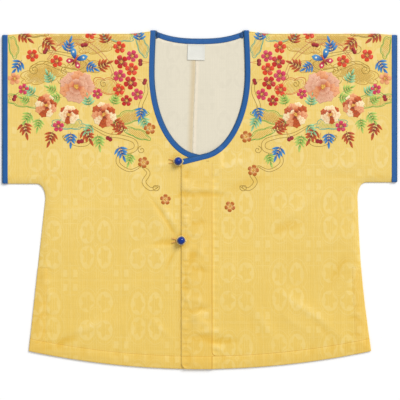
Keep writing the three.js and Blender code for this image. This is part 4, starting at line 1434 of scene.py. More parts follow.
def glass_ball(which):
    """A pressed glass ball on a small flat foot, with the faint seam of its mould."""
    x, y, on_lap = BUTTONS[which]
    foot = FRONT_AT + CLOTH + on_lap * LAP_LIFT + SEAM_GAP
    middle = (x * MM, y * MM, (foot + math.sqrt(BALL_RADIUS**2 - BALL_FOOT**2)) * MM)
    start_clean()
    bpy.ops.mesh.primitive_uv_sphere_add(
        segments=48, ring_count=25, radius=BALL_RADIUS * MM, location=middle
    )
    piece = bpy.context.object
    edit(piece, lambda face: True)
    bpy.ops.mesh.bisect(
        plane_co=(x * MM, y * MM, foot * MM), plane_no=(0, 0, 1), clear_inner=True, use_fill=True
    )
    edit(piece, lambda face: abs(face.calc_center_median().z) < 0.3 * MM)
    bpy.ops.transform.resize(value=(1.006, 1.006, 1), center_override=middle)
    bevelled(piece, 0.25, 2, 35)
    settle(piece, f"{which}_button_ball", materials["ball"])
    bpy.ops.object.shade_smooth()
    face_out(piece)
    return lay(piece, [f"{which}_button"])


# ---- Cords ----
def along_path(route, step):
    """A smooth line through a route's points, with even steps."""
    route = np.asarray(route, float)
    padded = np.concatenate([[2 * route[0] - route[1]], route, [2 * route[-1] - route[-2]]])
    t = np.linspace(0, 1, 13)[:, None]
    parts = []
    for a, b, c, d in zip(padded, padded[1:], padded[2:], padded[3:]):
        square, cube = 2 * a - 5 * b + 4 * c - d, 3 * b - a - 3 * c + d
        parts.append(0.5 * (2 * b + (c - a) * t + square * t**2 + cube * t**3))
    line = np.concatenate([parts[0]] + [part[1:] for part in parts[1:]])
    return resampled(line, step)


def strands(path, radius, ring=False, sides=8, turn=1.5):
    """Two strands twisted round each other along a path: faces, points and cuts."""
    runs = runs_of(path)
    if ring:
        step = np.roll(path, -1, axis=0) - np.roll(path, 1, axis=0)
        total = runs[-1] + np.linalg.norm(path[0] - path[-1])
        turn = 2 * math.pi * round(turn * total / (2 * math.pi)) / total
    else:
        step = np.gradient(path, axis=0)
    side = np.cross(step, [0.0, 0.0, 1.0])
    side /= np.linalg.norm(side, axis=1)[:, None]
    rise = np.cross(side, step / np.linalg.norm(step, axis=1)[:, None])
    around = np.linspace(0, 2 * math.pi, sides, endpoint=False)
    cut = [(0.56 * radius * a, run) for run in runs for a in around]
    parts = []
    for start in (0.0, math.pi):
        angle = start + turn * runs
        middle = path + 0.46 * radius * (np.cos(angle)[:, None] * side + np.sin(angle)[:, None] * rise)
        sections = [
            centre + 0.56 * radius * (np.cos(around)[:, None] * across + np.sin(around)[:, None] * up)
            for centre, across, up in zip(middle, side, rise)
        ]
        points, faces = tube(sections, ring)
        parts.append((faces, points, cut))
    return joined(parts)


def cord_piece(name, parts, node, material="cord"):
    faces, points, cut = joined(parts)
    piece = new_piece(name, points, faces, materials[material])
    set_cut(piece, cut)
    face_out(piece)
    return lay(piece, [node])


def button_cords(which):
    """The cord that holds a ball, sewn down to its left as seen, and the loop closed round the ball."""
    x, y, on_lap = BUTTONS[which]
    low = FRONT_AT + CLOTH + SEAM_GAP + 1.0
    side = 0.55 * TAIL_SPREAD
    route = [
        (-TAIL_REACH, TAIL_SPREAD), (-TAIL_REACH * 0.7, side * 1.3), (-TAIL_BEND - 2.5, side * 0.9),
        (-TAIL_BEND, 0),
        (-TAIL_BEND - 2.5, -side * 0.9), (-TAIL_REACH * 0.7, -side * 1.3), (-TAIL_REACH, -TAIL_SPREAD),
    ]
    tails = along_path([(x + a, y + b, low - 0.15) for a, b in route], 0.6)
    cord_piece(f"{which}_button_cord_twist", [strands(tails, 1.0)], f"{which}_button_cord")
    high = max(FRONT_AT + CLOTH + SEAM_GAP + 2, FRONT_AT + LAP_LIFT + BINDING) + SEAM_GAP + 1.0
    angle = np.linspace(0, 2 * math.pi, 76, endpoint=False)
    loop = np.column_stack([
        x + LOOP_RADIUS * np.cos(angle), y + LOOP_RADIUS * np.sin(angle), np.full(len(angle), high)
    ])
    lap_top = FRONT_AT + CLOTH + LAP_LIFT
    parts = [strands(loop, 1.0, ring=True)]
    stem_reach = 1.4 if on_lap else 1.2
    for off in (-0.85, 0.85):
        stem = along_path([
            (x + LOOP_RADIUS + reach, y + off * wide, z)
            for reach, wide, z in (
                (0.4, 0.9, high - 0.1), (0.4 + 0.35 * stem_reach, 1, high - 0.5),
                (0.4 + 0.7 * stem_reach, 1, lap_top + 0.55), (0.4 + stem_reach, 1, lap_top - 0.1),
            )
        ], 0.6)
        parts.append(strands(stem, 0.8))
    cord_piece(f"{which}_button_loop_twist", parts, f"{which}_button_loop", "loop")


# ---- Stitches ----
def unit_stitch():
    """One short sewn stitch along X, about 1 long and 1 wide: a small six-sided bead with drawn-in ends."""
    start_clean()
    bpy.ops.mesh.primitive_cylinder_add(vertices=6, radius=0.5, depth=0.7, rotation=(0, math.pi / 2, 0))
    piece = bpy.context.object
    bpy.ops.object.transform_apply()
    for end in (-1, 1):
        edit(piece, lambda face, end=end: face.normal.x * end > 0.9)
        extrude(x=0.15 * end)
        bpy.ops.transform.resize(value=(1, 0.35, 0.35), center_override=(0.5 * end, 0, -0.25))
    return taken(piece)


def stitch_run(line, pitch, long, thick):
    """Stitches along a line of points: for each, its middle, direction, length and thickness."""
    even = resampled(line, pitch)
    step = np.diff(even, axis=0)
    step /= np.linalg.norm(step, axis=1)[:, None]
    middle = (even[:-1] + even[1:]) / 2
    return [(m, s, long, thick) for m, s in zip(middle, step)]


def sewing(name, runs, unit, material):
    """Copies the one stitch to every place of the runs, and joins them into a piece."""
    cells, shape = unit
    parts = []
    for middle, step, long, thick in runs:
        side = np.cross([0.0, 0.0, 1.0], step)
        side /= np.linalg.norm(side)
        frame_of = np.array([step, side, np.cross(step, side)])
        sized = shape * [long, thick, thick]
        parts.append((cells, middle + sized @ frame_of, sized[:, 1::-1]))
    faces, points, cut = joined(parts)
    piece = new_piece(name, points, faces, materials[material])
    set_cut(piece, cut)
    return lay(piece)


def on_front(half, line, high):
    """A line of the cut, laid just above the front."""
    line = np.asarray(line, float)
    return drape(half, line[:, 0], line[:, 1], np.full(len(line), high))


def half_stitches(half, unit):
    """The stitches of the hem and the side vent and, on the left front, of the facing's ends."""
    runs = []

    def sew(line, pitch, long, thick, high=0.06):
        runs.extend(stitch_run(on_front(half, line, high), pitch, long, thick))

    hem = hem_edge(half.hem_corner - 3, half.front_edge + (52.5 if half.lap else 6)) + [0, HEM_TURN]
    sew(resampled(hem, 3), 3.1, 2.2, 0.34)
    along = np.linspace(VENT_TOP + 1, hem_at(half.hem_corner) + HEM_TURN, 40)
    line = vent_line(half, along)
    sew(paired(line, along), 3.1, 2.2, 0.32)
    bar = np.linspace(line[0], float(side_at(half, VENT_TOP)) - 1.5, 8)
    sew(paired(bar, np.full(8, VENT_TOP + 1)), 2.4, 1.8, 0.4)
    if half.lap:
        for over in (-0.5, 0.5):
            tick = [(LAP_STEP[0] - 4 - 1.2 * k, FACING_TOP + over) for k in range(5)]
            sew(tick, 1.9, 1.6, 0.4, high=0.1)
        turn = np.linspace(0, math.pi / 2, 9)
        low = float(hem_at(LAP_STEP[0])) + HEM_TURN
        arc = paired(LAP_STEP[0] + 9 - 7.5 * np.cos(turn), low + 7.5 - 7.5 * np.sin(turn))
        sew(arc, 2.6, 1.9, 0.32)
    return sewing(f"{half.name}_hem_and_vent_stitches", runs, unit, "sewing")


def label_stitches(unit):
    """The rows of stitches along the label's upper and lower edge."""
    runs = []
    c, s = math.cos(LABEL_TURN), math.sin(LABEL_TURN)
    top = LINING_AT + LINING + SEAM_GAP + 0.72
    for b in (-12.2, 12.2):
        line = [(LABEL_AT[0] + a * c - b * s, LABEL_AT[1] + a * s + b * c, top) for a in (-13.6, 13.6)]
        runs += stitch_run(np.array(line), 2.3, 1.6, 0.28)
    return sewing("label_stitches", runs, unit, "tape_thread")


# ---- Embroidery ----
# Silks in pairs: where a stitched shape starts, and where it ends.
RED = (seen(150, 18, 12), seen(224, 62, 16))
SCARLET = (seen(120, 10, 12), seen(196, 26, 16))
CRIMSON = (seen(150, 16, 40), seen(212, 52, 88))
PEACH = (seen(196, 88, 44), seen(234, 162, 108))
CREAM = (seen(214, 130, 60), seen(248, 226, 178))
BRICK = (seen(234, 188, 116), seen(182, 94, 8))
ROSE = (seen(196, 118, 84), seen(230, 174, 140))
RUST = (seen(118, 34, 12), seen(200, 84, 22))
BLUE = (seen(20, 58, 138), seen(66, 142, 196))
GREEN = (seen(92, 146, 46), seen(188, 208, 100))
JADE = (seen(62, 136, 92), seen(168, 212, 156))
WINE = (seen(104, 10, 18), seen(164, 28, 32))
HEART = (seen(244, 200, 80), seen(196, 120, 36))
PALE_SILK = (seen(250, 236, 196), seen(250, 236, 196))
# Threads.
GOLD_LINE = seen(192, 144, 40)
TAN_LINE = seen(156, 124, 40)
GREEN_LINE = seen(110, 166, 60)
TEAL_LINE = seen(86, 168, 146)
ORANGE_LINE = seen(206, 104, 40)


def unit_pad(sides):
    """A satin-stitched pad of radius 1: a low cushion, closed below."""
    start_clean()
    bpy.ops.mesh.primitive_cylinder_add(vertices=sides, radius=1, depth=0.5, location=(0, 0, -0.25))
    piece = bpy.context.object
    bpy.ops.object.transform_apply()
    edit(piece, lambda face: face.normal.z > 0.9)
    for rise, share in ((0.62, 0.9), (0.3, 0.62)):
        extrude(z=rise)
        bpy.ops.transform.resize(value=(share, share, 1), center_override=(0, 0, 0))
    bpy.ops.mesh.poke(offset=0.08)
    return taken(piece)


def petal(long, wide, start, scallops=0):
    """Round-ended, narrower where it starts, with a scalloped end if asked."""
    def shape(x, y):
        end = smooth((x + 0.1) / 1.1)
        reach = long / 2 * (x + 1) + start
        if scallops:
            reach = reach + 0.05 * long * end * np.cos(scallops * math.pi * y)
        side = wide / 2 * y * (0.8 + 0.28 * x)
        return reach, side, side, reach
    return shape


def leaf(long, wide, start=0.0, bend=0.0):
    """Pointed at both ends, stitched aslant from the midrib."""
    def shape(x, y):
        reach = long / 2 * (x + 1 - 0.16 * (1 - x * x)) + start
        side = wide / 2 * y * (1 - x * x * 0.96) ** 0.4
        return reach, side + bend * (1 - x * x), reach * 0.75 + np.abs(side) * 0.6, side
    return shape


def disc(radius):
    def shape(x, y):
        return radius * x, radius * y, radius * y, radius * x
    return shape


# Section of a couched thread: across, in its width, and up, in its height.
THREAD = ((-0.5, -0.1), (-0.36, 0.72), (0.0, 1.0), (0.36, 0.72), (0.5, -0.1))


class Embroidery:
    """Pads and couched threads on one half, drawn on its flat cut, then laid on its cloth."""

    def __init__(self, half, pads):
        self.half = half
        self.pads = pads
        self.kind = ""
        self.kinds = {}

    def add(self, *part):
        """Keeps a part's faces, points of the cut, their heights, colours and thread directions."""
        self.kinds.setdefault(self.kind, []).append(part)

    def pad(self, shape, at, turn, colours, high, layer, sides=10, fade=(0.1, 0.75)):
        """A pad of satin stitch, whose colour runs from one silk to the other."""
        faces, unit = self.pads[sides]
        reach, side, thread, run = shape(unit[:, 0], unit[:, 1])
        c, s = math.cos(turn), math.sin(turn)
        flat = paired(at[0] + c * reach - s * side, at[1] + s * reach + c * side)
        share = smooth(((unit[:, 0] + 1) / 2 - fade[0]) / (fade[1] - fade[0]))[:, None]
        colour = mix(*(np.array(linear(one)) for one in colours), share)
        lift = np.where(unit[:, 2] < -0.1, -0.12, layer + high * np.maximum(unit[:, 2], 0))
        self.add(faces, flat, lift, colour, paired(thread, run))

    def thread(self, line, wide, colour, high, layer=0.0, step=2.4, smoothed=True):
        """A couched thread along a line of the cut."""
        line = along_path(line, step) if smoothed and len(line) > 2 else resampled(line, step)
        taper = np.ones((len(line), 1))
        taper[[0, -1]] = 0.55
        flat, faces = tube(np.stack([moved_in(line, across * wide * taper) for across, _ in THREAD], axis=1))
        lift = [layer + high * rise if rise > 0 else -0.1 for _, rise in THREAD] * len(line)
        cut = [(run * 0.8 + across * wide, across * wide) for run in runs_of(line) for across, _ in THREAD]
        rgb = np.tile(linear(colour), (len(flat), 1))
        self.add([face[::-1] for face in faces], flat, lift, rgb, cut)

    def pieces(self):
        """Lays each kind of motif as one piece."""
        for kind, parts in self.kinds.items():
            faces, flat, high, colour, cut = joined(parts)
            points = drape(self.half, flat[:, 0], flat[:, 1], high)
            if self.half.sign < 0:
                faces = [face[::-1] for face in faces]
            piece = new_piece(f"{self.half.name}_{kind}", points, faces, materials["silk"])
            set_cut(piece, cut)
            layer = piece.data.color_attributes.new("silk", "FLOAT_COLOR", "POINT")
            layer.data.foreach_set("color", np.column_stack([colour, np.ones(len(colour))]).ravel())
            lay(piece)

    # -- motifs --
    def blossom(self, at, size, turn, colours):
        """A blossom of five separate round petals with a gold heart and short stamens."""
        self.kind = "blossoms"
        shape = petal(size * 0.42, size * 2.5 * 0.31 * math.sin(math.pi / 5), size * 0.08)
        for k in range(5):
            angle = turn + 2 * math.pi * k / 5
            self.pad(shape, at, angle, colours, high=0.4, layer=0.1, sides=12, fade=(0.0, 0.6))
            stamen = [at, polar(at, size * 0.2, angle)]
            self.thread(stamen, 0.55, HEART[0], high=0.16, layer=0.44, step=3.0)
        self.pad(disc(size * 0.09), at, turn, HEART, high=0.3, layer=0.46, sides=8)

    def peony(self, at, size, turn, palette):
        """A full flower of three rings of scalloped petals round a gold heart."""
        self.kind = "peonies"
        rings = ((0.5, 9, 0.0, 0.36), (0.36, 8, 0.34, 0.3), (0.23, 6, 0.1, 0.22))
        for ring, (reach, count, start, wide) in enumerate(rings):
            layer = 0.06 + 0.2 * ring
            for k in range(count):
                angle = turn + start + 2 * math.pi * k / count
                colours = palette[(k + ring) % len(palette)]
                uneven = 1 + 0.07 * math.sin(5.1 * k + 2.3 * ring)
                shape = petal(size * reach * 0.92 * uneven, size * wide * 1.15, size * 0.02, 3)
                self.pad(shape, at, angle, colours, high=0.34, layer=layer, sides=16, fade=(0.25, 0.95))
                if ring < 2:
                    for off in (-0.22, 0.0, 0.22):
                        ends = (size * reach * 0.36, size * reach * (0.78 - abs(off) * 0.6))
                        line = [polar(at, end, angle + off * 0.8) for end in ends]
                        self.thread(line, 0.6, colours[0], high=0.12, layer=layer + 0.32, step=4.0)
        for k in range(9):
            angle = turn + 2.4 * k
            place = polar(at, size * 0.022 * math.sqrt(k), angle)
            self.pad(disc(size * 0.03), place, angle, HEART, high=0.24, layer=0.75, sides=8)

    def sprig(self, at, size, turn, colours):
        """A curved stem with three pairs of pointed leaves and one at its end."""
        self.kind = "leaf_sprigs"
        c, s = math.cos(turn), math.sin(turn)

        def on(reach):
            side = 0.1 * size * (reach / size) ** 2
            return at[0] + c * reach - s * side, at[1] + s * reach + c * side

        stem = [on(size * share) for share in (0, 0.35, 0.72)]
        self.thread(stem, 1.1, colours[0], high=0.2, layer=0.02)
        for k in range(3):
            foot = on(size * (0.12 + 0.5 * k / 3))
            for side in (-1, 1):
                angle = turn + side * (1.02 - 0.16 * k) + 0.12
                long = size * (0.52 - 0.06 * k)
                self.leaflet(foot, angle, long, size * 0.17, colours, side * size * 0.02)
        self.leaflet(on(size * 0.62), turn + 0.14, size * 0.5, size * 0.18, colours)

    def leaflet(self, at, angle, long, wide, colours, bend=0.0):
        self.pad(leaf(long, wide, 0.4, bend), at, angle, colours, high=0.34, layer=0.06, fade=(0.0, 0.8))
        midrib = [polar(at, long * share, angle) for share in (0.12, 0.8)]
        self.thread(midrib, 0.5, colours[0], high=0.12, layer=0.3, step=4.0)

    def berries(self, at, size, turn):
        """Two round wine-red berries on short stalks that meet."""
        self.kind = "blossoms"
        foot = polar(at, -size * 1.5, turn)
        for side in (-0.5, 0.5):
            place = polar(at, size * 0.62, turn + side * 1.15)
            self.thread([foot, place], 0.5, RUST[1], high=0.16)
            self.pad(disc(size * 0.5), place, turn, WINE, high=0.55, layer=0.05, sides=12, fade=(0.0, 0.6))

    def cloud(self, at, wide, high, turn, line, lobes, gap, slants, fill=GOLD_LINE):
        """A flat-bottomed cloud with a scalloped edge, a second line within it and a hatched middle."""
        self.kind = "clouds"
        t = np.linspace(0, 2 * math.pi, 97)[:-1]
        bulge = 0.84 + 0.26 * np.abs(np.sin(lobes * t / 2)) ** 0.8 + 0.06 * np.cos(2 * t + 0.5)
        edge = paired(wide / 2 * bulge * np.cos(t), high / 2 * bulge * np.sin(t))
        edge[:, 1] = np.where(edge[:, 1] < 0, edge[:, 1] * 0.6, edge[:, 1])
        c, s = math.cos(turn), math.sin(turn)
        frame_turn = np.array([[c, s], [-s, c]])

        def placed(points):
            return np.asarray(points) @ frame_turn + np.asarray(at)

        closed = np.concatenate([edge, edge[:1]])
        for share, thick, rise in ((1.0, 1.2, 0.3), (0.83, 0.8, 0.2)):
            self.thread(placed(closed * share), thick, line, high=rise, step=2.2, smoothed=False)
        inner = closed * 0.74
        for slant in slants:
            cs, ss = math.cos(slant), math.sin(slant)
            across = inner @ np.array([-ss, cs])
            along = inner @ np.array([cs, ss])
            for level in np.arange(across.min() + gap * 0.6, across.max(), gap):
                cuts = []
                for k in range(len(inner) - 1):
                    a, b = across[k] - level, across[k + 1] - level
                    if (a > 0) != (b > 0):
                        cuts.append(mix(along[k], along[k + 1], a / (a - b)))
                cuts.sort()
                for start, end in zip(cuts[::2], cuts[1::2]):
                    if end - start > 1.5:
                        ends = [(cs * r - ss * level, ss * r + cs * level) for r in (start, end)]
                        self.thread(placed(ends), 0.75, fill, high=0.16, step=6.0)

    def curl(self, at, size, turn, hand):
        """A spiral tendril that winds in from its start."""
        self.kind = "tendrils"
        t = np.linspace(0, 1, 22)
        reach = size * (1 - t) ** 0.8 * 0.5 + 0.4
        angle = turn + hand * 2 * math.pi * 1.4 * t
        middle = polar(at, -size * 0.5, turn)
        line = paired(middle[0] + reach * np.cos(angle), middle[1] + reach * np.sin(angle))
        self.thread(line, 1.1, TAN_LINE, high=0.24, step=1.8)

    def vine(self, colour, line):
        """Two threads side by side that swell apart and close again."""
        self.kind = "tendrils"
        line = along_path(line, 3.0)
        share = np.linspace(0, 1, len(line))
        spread = 6.5 * (0.25 + 0.75 * np.sin(math.pi * share) ** 0.6)
        for side in (-0.5, 0.5):
            beside = moved_in(line, (side * spread)[:, None])
            self.thread(beside, 1.0, colour, high=0.26, step=2.2, smoothed=False)

    def butterfly(self, at, size, turn):
        """Four wings with pale spots about a slim body."""
        self.kind = "blossoms"
        for spread, long, wide, colours in ((0.75, 0.6, 0.36, BLUE), (2.2, 0.42, 0.3, CRIMSON)):
            wing = petal(size * long, size * wide, size * 0.04, 2)
            for angle in (turn + spread, turn - spread):
                self.pad(wing, at, angle, colours, high=0.34, layer=0.12, sides=16)
                spot = polar(at, size * long * 0.72, angle)
                self.pad(disc(size * 0.05), spot, turn, PALE_SILK, high=0.14, layer=0.46, sides=8)
        body = leaf(size * 0.62, size * 0.12)
        self.pad(body, polar(at, -0.3 * size, turn), turn, RUST, high=0.4, layer=0.42, sides=8)
        for side in (-0.48, 0.48):
            feeler = [polar(at, reach * size, turn + side * reach) for reach in (0.25, 0.45, 0.62)]
            self.thread(feeler, 0.45, RUST[1], high=0.16, layer=0.1, step=1.6)


# The design of one shoulder, on the flat cut: across, length, size, direction in degrees, and then the
# silks or, for a curl, the way it winds.
PEONIES = (
    (212, 194, 62, 20, (ROSE, ROSE, PEACH)), (165, 146, 46, 75, (CREAM, PEACH, RUST)),
    (264, 162, 42, 130, (CREAM, RUST, PEACH)), (225, 146, 36, 40, (RUST, CREAM, CREAM)),
)
BLOSSOMS = (
    (138, 262, 22, 12, RED), (116, 247, 21, 40, CRIMSON), (135, 237, 24, 70, SCARLET),
    (117, 224, 23, 15, RED), (138, 213, 22, 33, CRIMSON), (119, 201, 24, 55, SCARLET),
    (139, 189, 21, 80, RED), (107, 181, 21, 5, CRIMSON), (126, 170, 20, 20, SCARLET),
    (246, 238, 22, 5, RED), (288, 248, 22, 50, RED), (243, 126, 20, 18, CRIMSON),
    (319, 208, 22, 8, PEACH), (188, 286, 21, 30, RED), (112, 290, 17, 40, SCARLET),
    (303, 190, 19, 30, CRIMSON), (176, 182, 18, 44, CRIMSON),
)
LONE_BLOSSOMS = {
    "right": ((86, 122, 21, 10, BRICK), (97, 64, 20, 40, BRICK), (59, 0, 19, 20, BRICK)),
    "left": ((80, 108, 21, 30, BRICK), (92, 50, 20, 5, BRICK), (52, -12, 19, 50, BRICK)),
}
SPRIGS = (
    (312, 288, 30, -150, RUST), (270, 276, 28, 215, RUST), (176, 226, 28, 150, RUST),
    (304, 134, 30, 250, RUST), (200, 122, 31, 235, RUST), (128, 118, 28, 20, RUST),
    (158, 268, 27, 60, RUST), (252, 118, 28, 285, RUST), (150, 134, 26, 200, RUST),
    (306, 240, 28, -60, BLUE), (228, 252, 28, 100, BLUE), (104, 272, 26, 85, BLUE),
    (98, 160, 26, -80, BLUE), (140, 92, 28, 240, BLUE), (222, 116, 26, 265, BLUE),
    (196, 232, 24, 200, BLUE), (124, 290, 26, 170, GREEN), (176, 112, 28, 255, GREEN),
    (100, 142, 25, 240, JADE), (190, 160, 26, 75, JADE), (290, 150, 26, 300, GREEN),
    (254, 200, 25, 60, JADE), (118, 80, 24, 280, GREEN), (238, 176, 24, 350, GREEN),
    (148, 162, 24, 100, GREEN), (284, 180, 24, 40, JADE), (292, 168, 22, 20, GREEN),
    (184, 128, 24, 310, JADE), (246, 186, 22, 20, GREEN), (276, 140, 24, 275, GREEN),
)
BERRIES = (
    (98, 236, 7.8, 0), (198, 262, 7.8, 80), (262, 254, 7.4, 30), (206, 104, 7.8, 260),
    (154, 108, 7.4, 300), (322, 176, 7.2, 200), (160, 288, 7.4, 120), (98, 204, 7.0, 200),
)
# Clouds: across, length, width, height, direction, thread of the edge, lobes, and the filling's gap,
# slants and, where it isn't gold, thread.
LATTICE = (0.8, 2.3)
CLOUDS = (
    (226, 276, 78, 40, 4, ORANGE_LINE, 9, 2.2, LATTICE),
    (176, 262, 60, 34, -8, GOLD_LINE, 7, 2.2, (1.3,)),
    (140, 280, 52, 28, 6, TEAL_LINE, 6, 2.3, (1.1,)),
    (302, 168, 62, 30, 10, GREEN_LINE, 7, 2.4, (1.4,)),
    (268, 214, 74, 44, -12, GOLD_LINE, 8, 2.0, LATTICE),
    (120, 140, 60, 28, -14, GREEN_LINE, 7, 2.2, LATTICE),
    (158, 192, 54, 34, 20, ORANGE_LINE, 6, 2.3, (0.9,)),
    (284, 286, 48, 22, 0, TAN_LINE, 6, 2.4, (0.3,)),
    (196, 228, 60, 28, 8, GOLD_LINE, 7, 2.1, LATTICE),
    (108, 112, 44, 20, 22, GREEN_LINE, 5, 2.3, (0.4,)),
    (322, 262, 36, 20, 80, GREEN_LINE, 5, 2.4, (1.0,)),
    (226, 128, 54, 24, 4, TEAL_LINE, 7, 2.3, (1.2,), GREEN_LINE),
    (100, 262, 34, 22, 70, TEAL_LINE, 5, 2.3, (0.6,)),
)
VINES = (
    (TAN_LINE, ((262, 256), (222, 248), (192, 236), (206, 220), (240, 226), (270, 236), (292, 226))),
    (ROSE[0], ((262, 240), (238, 266), (204, 272), (176, 256), (154, 230), (146, 206))),
    (TAN_LINE, (
        (190, 128), (160, 112), (134, 108), (112, 100), (112, 86), (136, 78), (140, 62), (120, 50),
        (100, 58),
    )),
    (TAN_LINE, ((100, 58), (88, 46), (96, 30), (84, 18), (70, 24))),
    (TAN_LINE, ((236, 108), (214, 96), (194, 96), (186, 108))),
    (TAN_LINE, ((94, 208), (92, 186), (102, 160), (98, 140))),
)
CURLS = (
    (262, 256, 18, 200, 1), (292, 226, 16, 20, -1), (70, 24, 13, 150, 1), (100, 92, 13, 90, -1),
    (216, 240, 14, 40, 1), (162, 205, 13, 120, -1), (236, 108, 13, 30, 1), (146, 206, 12, 260, 1),
    (244, 206, 16, 0, -1), (262, 226, 14, 80, 1), (228, 226, 13, 140, -1),
)
BUTTERFLY = (214, 240, 34, 120)


def shoulder_embroidery(half, pads):
    """The design of one shoulder, with the single blossoms below it."""
    work = Embroidery(half, pads)
    for x, y, wide, high, turn, *how in CLOUDS:
        work.cloud((x, y), wide, high, math.radians(turn), *how)
    for colour, line in VINES:
        work.vine(colour, line)
    for motif, rows in (
        (work.curl, CURLS), (work.sprig, SPRIGS), (work.berries, BERRIES), (work.peony, PEONIES),
        (work.blossom, BLOSSOMS + LONE_BLOSSOMS[half.name]), (work.butterfly, [BUTTERFLY]),
    ):
        for x, y, size, turn, *rest in rows:
            motif((x, y), size, math.radians(turn), *rest)
    work.pieces()


# ---- The stage ----
LENS = 100
SENSOR = 36
VIEW_WIDTH = 0.688  # what the picture takes in at the height of the cloth, in metres
VIEW_MIDDLE = (0.0005, -0.0007)
CLOTH_HEIGHT = 0.004
FLOOR_DROP = 0.0002


def stage():
    """The floor, an even light, a soft light from one side, and the camera straight above."""
    scene = bpy.context.scene
    sizes = scene.hanfu_stage
    start_clean()
    bpy.ops.mesh.primitive_plane_add(size=sizes.floor, location=(0, 0, 0))
    floor = bpy.context.object
    floor.name = "floor"
    s = new_material("floor_paper", Specular_IOR_Level=0.1)
    grain = s.noise(s.node("TexCoord").outputs["Object"], 60.0)
    white = s.brighter((1.0, 1.0, 1.0), s.ramp(grain, 0.3, 0.7, 0.93, 0.94))
    floor.data.materials.append(finished(s, white, 0.9, s.bump(grain, 0.02, 0.0001)))
    floor.location.z = -FLOOR_DROP
    bpy.ops.object.transform_apply()

    world = bpy.data.worlds.new("studio")
    world.use_nodes = True
    back = world.node_tree.nodes["Background"]
    back.inputs["Color"].default_value = (1.0, 1.0, 1.0, 1.0)
    back.inputs["Strength"].default_value = sizes.soft_light
    scene.world = world
    sun_data = bpy.data.lights.new("window", "SUN")
    sun_data.energy = sizes.main_light
    sun_data.angle = math.radians(26)
    sun = bpy.data.objects.new("window", sun_data)
    sun.rotation_euler = (math.radians(50), 0, math.radians(142))
    scene.collection.objects.link(sun)
    scene.view_settings.view_transform = "Standard"

    camera_data = bpy.data.cameras.new("above")
    camera_data.lens = LENS
    camera_data.sensor_width = SENSOR
    camera = bpy.data.objects.new("above", camera_data)
    camera.location = (*VIEW_MIDDLE, CLOTH_HEIGHT + VIEW_WIDTH * LENS / SENSOR)
    camera_data.clip_end = 20
    scene.collection.objects.link(camera)
    scene.camera = camera


# ---- What a user would change ----
def colour_of(name, description, value):
    return bpy.props.FloatVectorProperty(
        name=name, description=description, subtype="COLOR_GAMMA", size=3, min=0, max=1, default=value
    )


def length_of(name, description, value):
    return bpy.props.FloatProperty(
        name=name, description=description, default=value, min=0,
        unit="LENGTH", subtype="DISTANCE", precision=5,
    )


class HanfuTopColours(bpy.types.PropertyGroup):
    cloth: colour_of("Cloth", "Ground colour of the silk damask", seen(229, 195, 98))
    lining: colour_of("Lining", "Colour of the back lining", seen(221, 213, 192))
    binding: colour_of("Binding", "Colour of the bindings of neck and cuffs", seen(28, 89, 154))
    label: colour_of("Label", "Colour of the bare neck label", seen(226, 225, 216))
    ball: colour_of("Ball buttons", "Colour of the glass balls", seen(8, 50, 136))
    cord: colour_of("Cords", "Colour of the cords that hold the buttons", seen(248, 190, 104))
    loop: colour_of("Loops", "Colour of the loops round the buttons", seen(248, 228, 166))


class HanfuTopSizes(bpy.types.PropertyGroup):
    cloth_wall: length_of("Cloth thickness", "Thickness of the lined outer cloth", 0.0008)
    crease_height: bpy.props.FloatProperty(
        name="Crease height", description="How strongly the fronts are creased", default=1.0, min=0, max=1.5,
        subtype="FACTOR",
    )


class HanfuTopStage(bpy.types.PropertyGroup):
    floor: length_of("Floor", "Side of the square floor", 12.0)
    soft_light: bpy.props.FloatProperty(
        name="Soft light", description="Strength of the even light", default=0.62, min=0
    )
    main_light: bpy.props.FloatProperty(
        name="Main light", description="Strength of the light from one side", default=2.3, min=0
    )


# ---- Operators ----
class Step:
    """What all the operators share."""

    bl_options = {"REGISTER", "UNDO"}


class MESH_OT_hanfu_outer_halves(Step, bpy.types.Operator):
    """Lay the two outer halves, each cut in one from back hem over the shoulder to front hem"""

    bl_idname = "mesh.hanfu_outer_halves"
    bl_label = "Outer Halves"

    def execute(self, context):
        prepare_materials()
        outer_half(RIGHT)
        outer_half(LEFT)
        return {"FINISHED"}


class MESH_OT_hanfu_back_linings(Step, bpy.types.Operator):
    """Lay the two pieces of the back lining, which meet at the centre seam"""

    bl_idname = "mesh.hanfu_back_linings"
    bl_label = "Back Linings"

    def execute(self, context):
        prepare_materials()
        back_lining(RIGHT)
        back_lining(LEFT)
        return {"FINISHED"}


class MESH_OT_hanfu_bindings(Step, bpy.types.Operator):
    """Fold the blue bindings round the neck and the cuffs"""

    bl_idname = "mesh.hanfu_bindings"
    bl_label = "Bindings"

    def execute(self, context):
        prepare_materials()
        for half in (RIGHT, LEFT):
            front_binding(half)
            cuff_binding(half)
            neck_fold(half)
        back_binding()
        return {"FINISHED"}


class MESH_OT_hanfu_label(Step, bpy.types.Operator):
    """Sew in the bare neck label"""

    bl_idname = "mesh.hanfu_label"
    bl_label = "Neck Label"

    def execute(self, context):
        prepare_materials()
        neck_label()
        return {"FINISHED"}


class MESH_OT_hanfu_buttons(Step, bpy.types.Operator):
    """Set the two glass balls, the cords that hold them and the loops round them"""

    bl_idname = "mesh.hanfu_buttons"
    bl_label = "Buttons and Cords"

    def execute(self, context):
        prepare_materials()
        for which in BUTTONS:
            glass_ball(which)
            button_cords(which)
        return {"FINISHED"}


class MESH_OT_hanfu_stitches(Step, bpy.types.Operator):
    """Sew the visible stitches of hem, side vents, facing and label"""

    bl_idname = "mesh.hanfu_stitches"
    bl_label = "Stitches"

    def execute(self, context):
        prepare_materials()
        unit = unit_stitch()
        half_stitches(RIGHT, unit)
        half_stitches(LEFT, unit)
        label_stitches(unit)
        return {"FINISHED"}


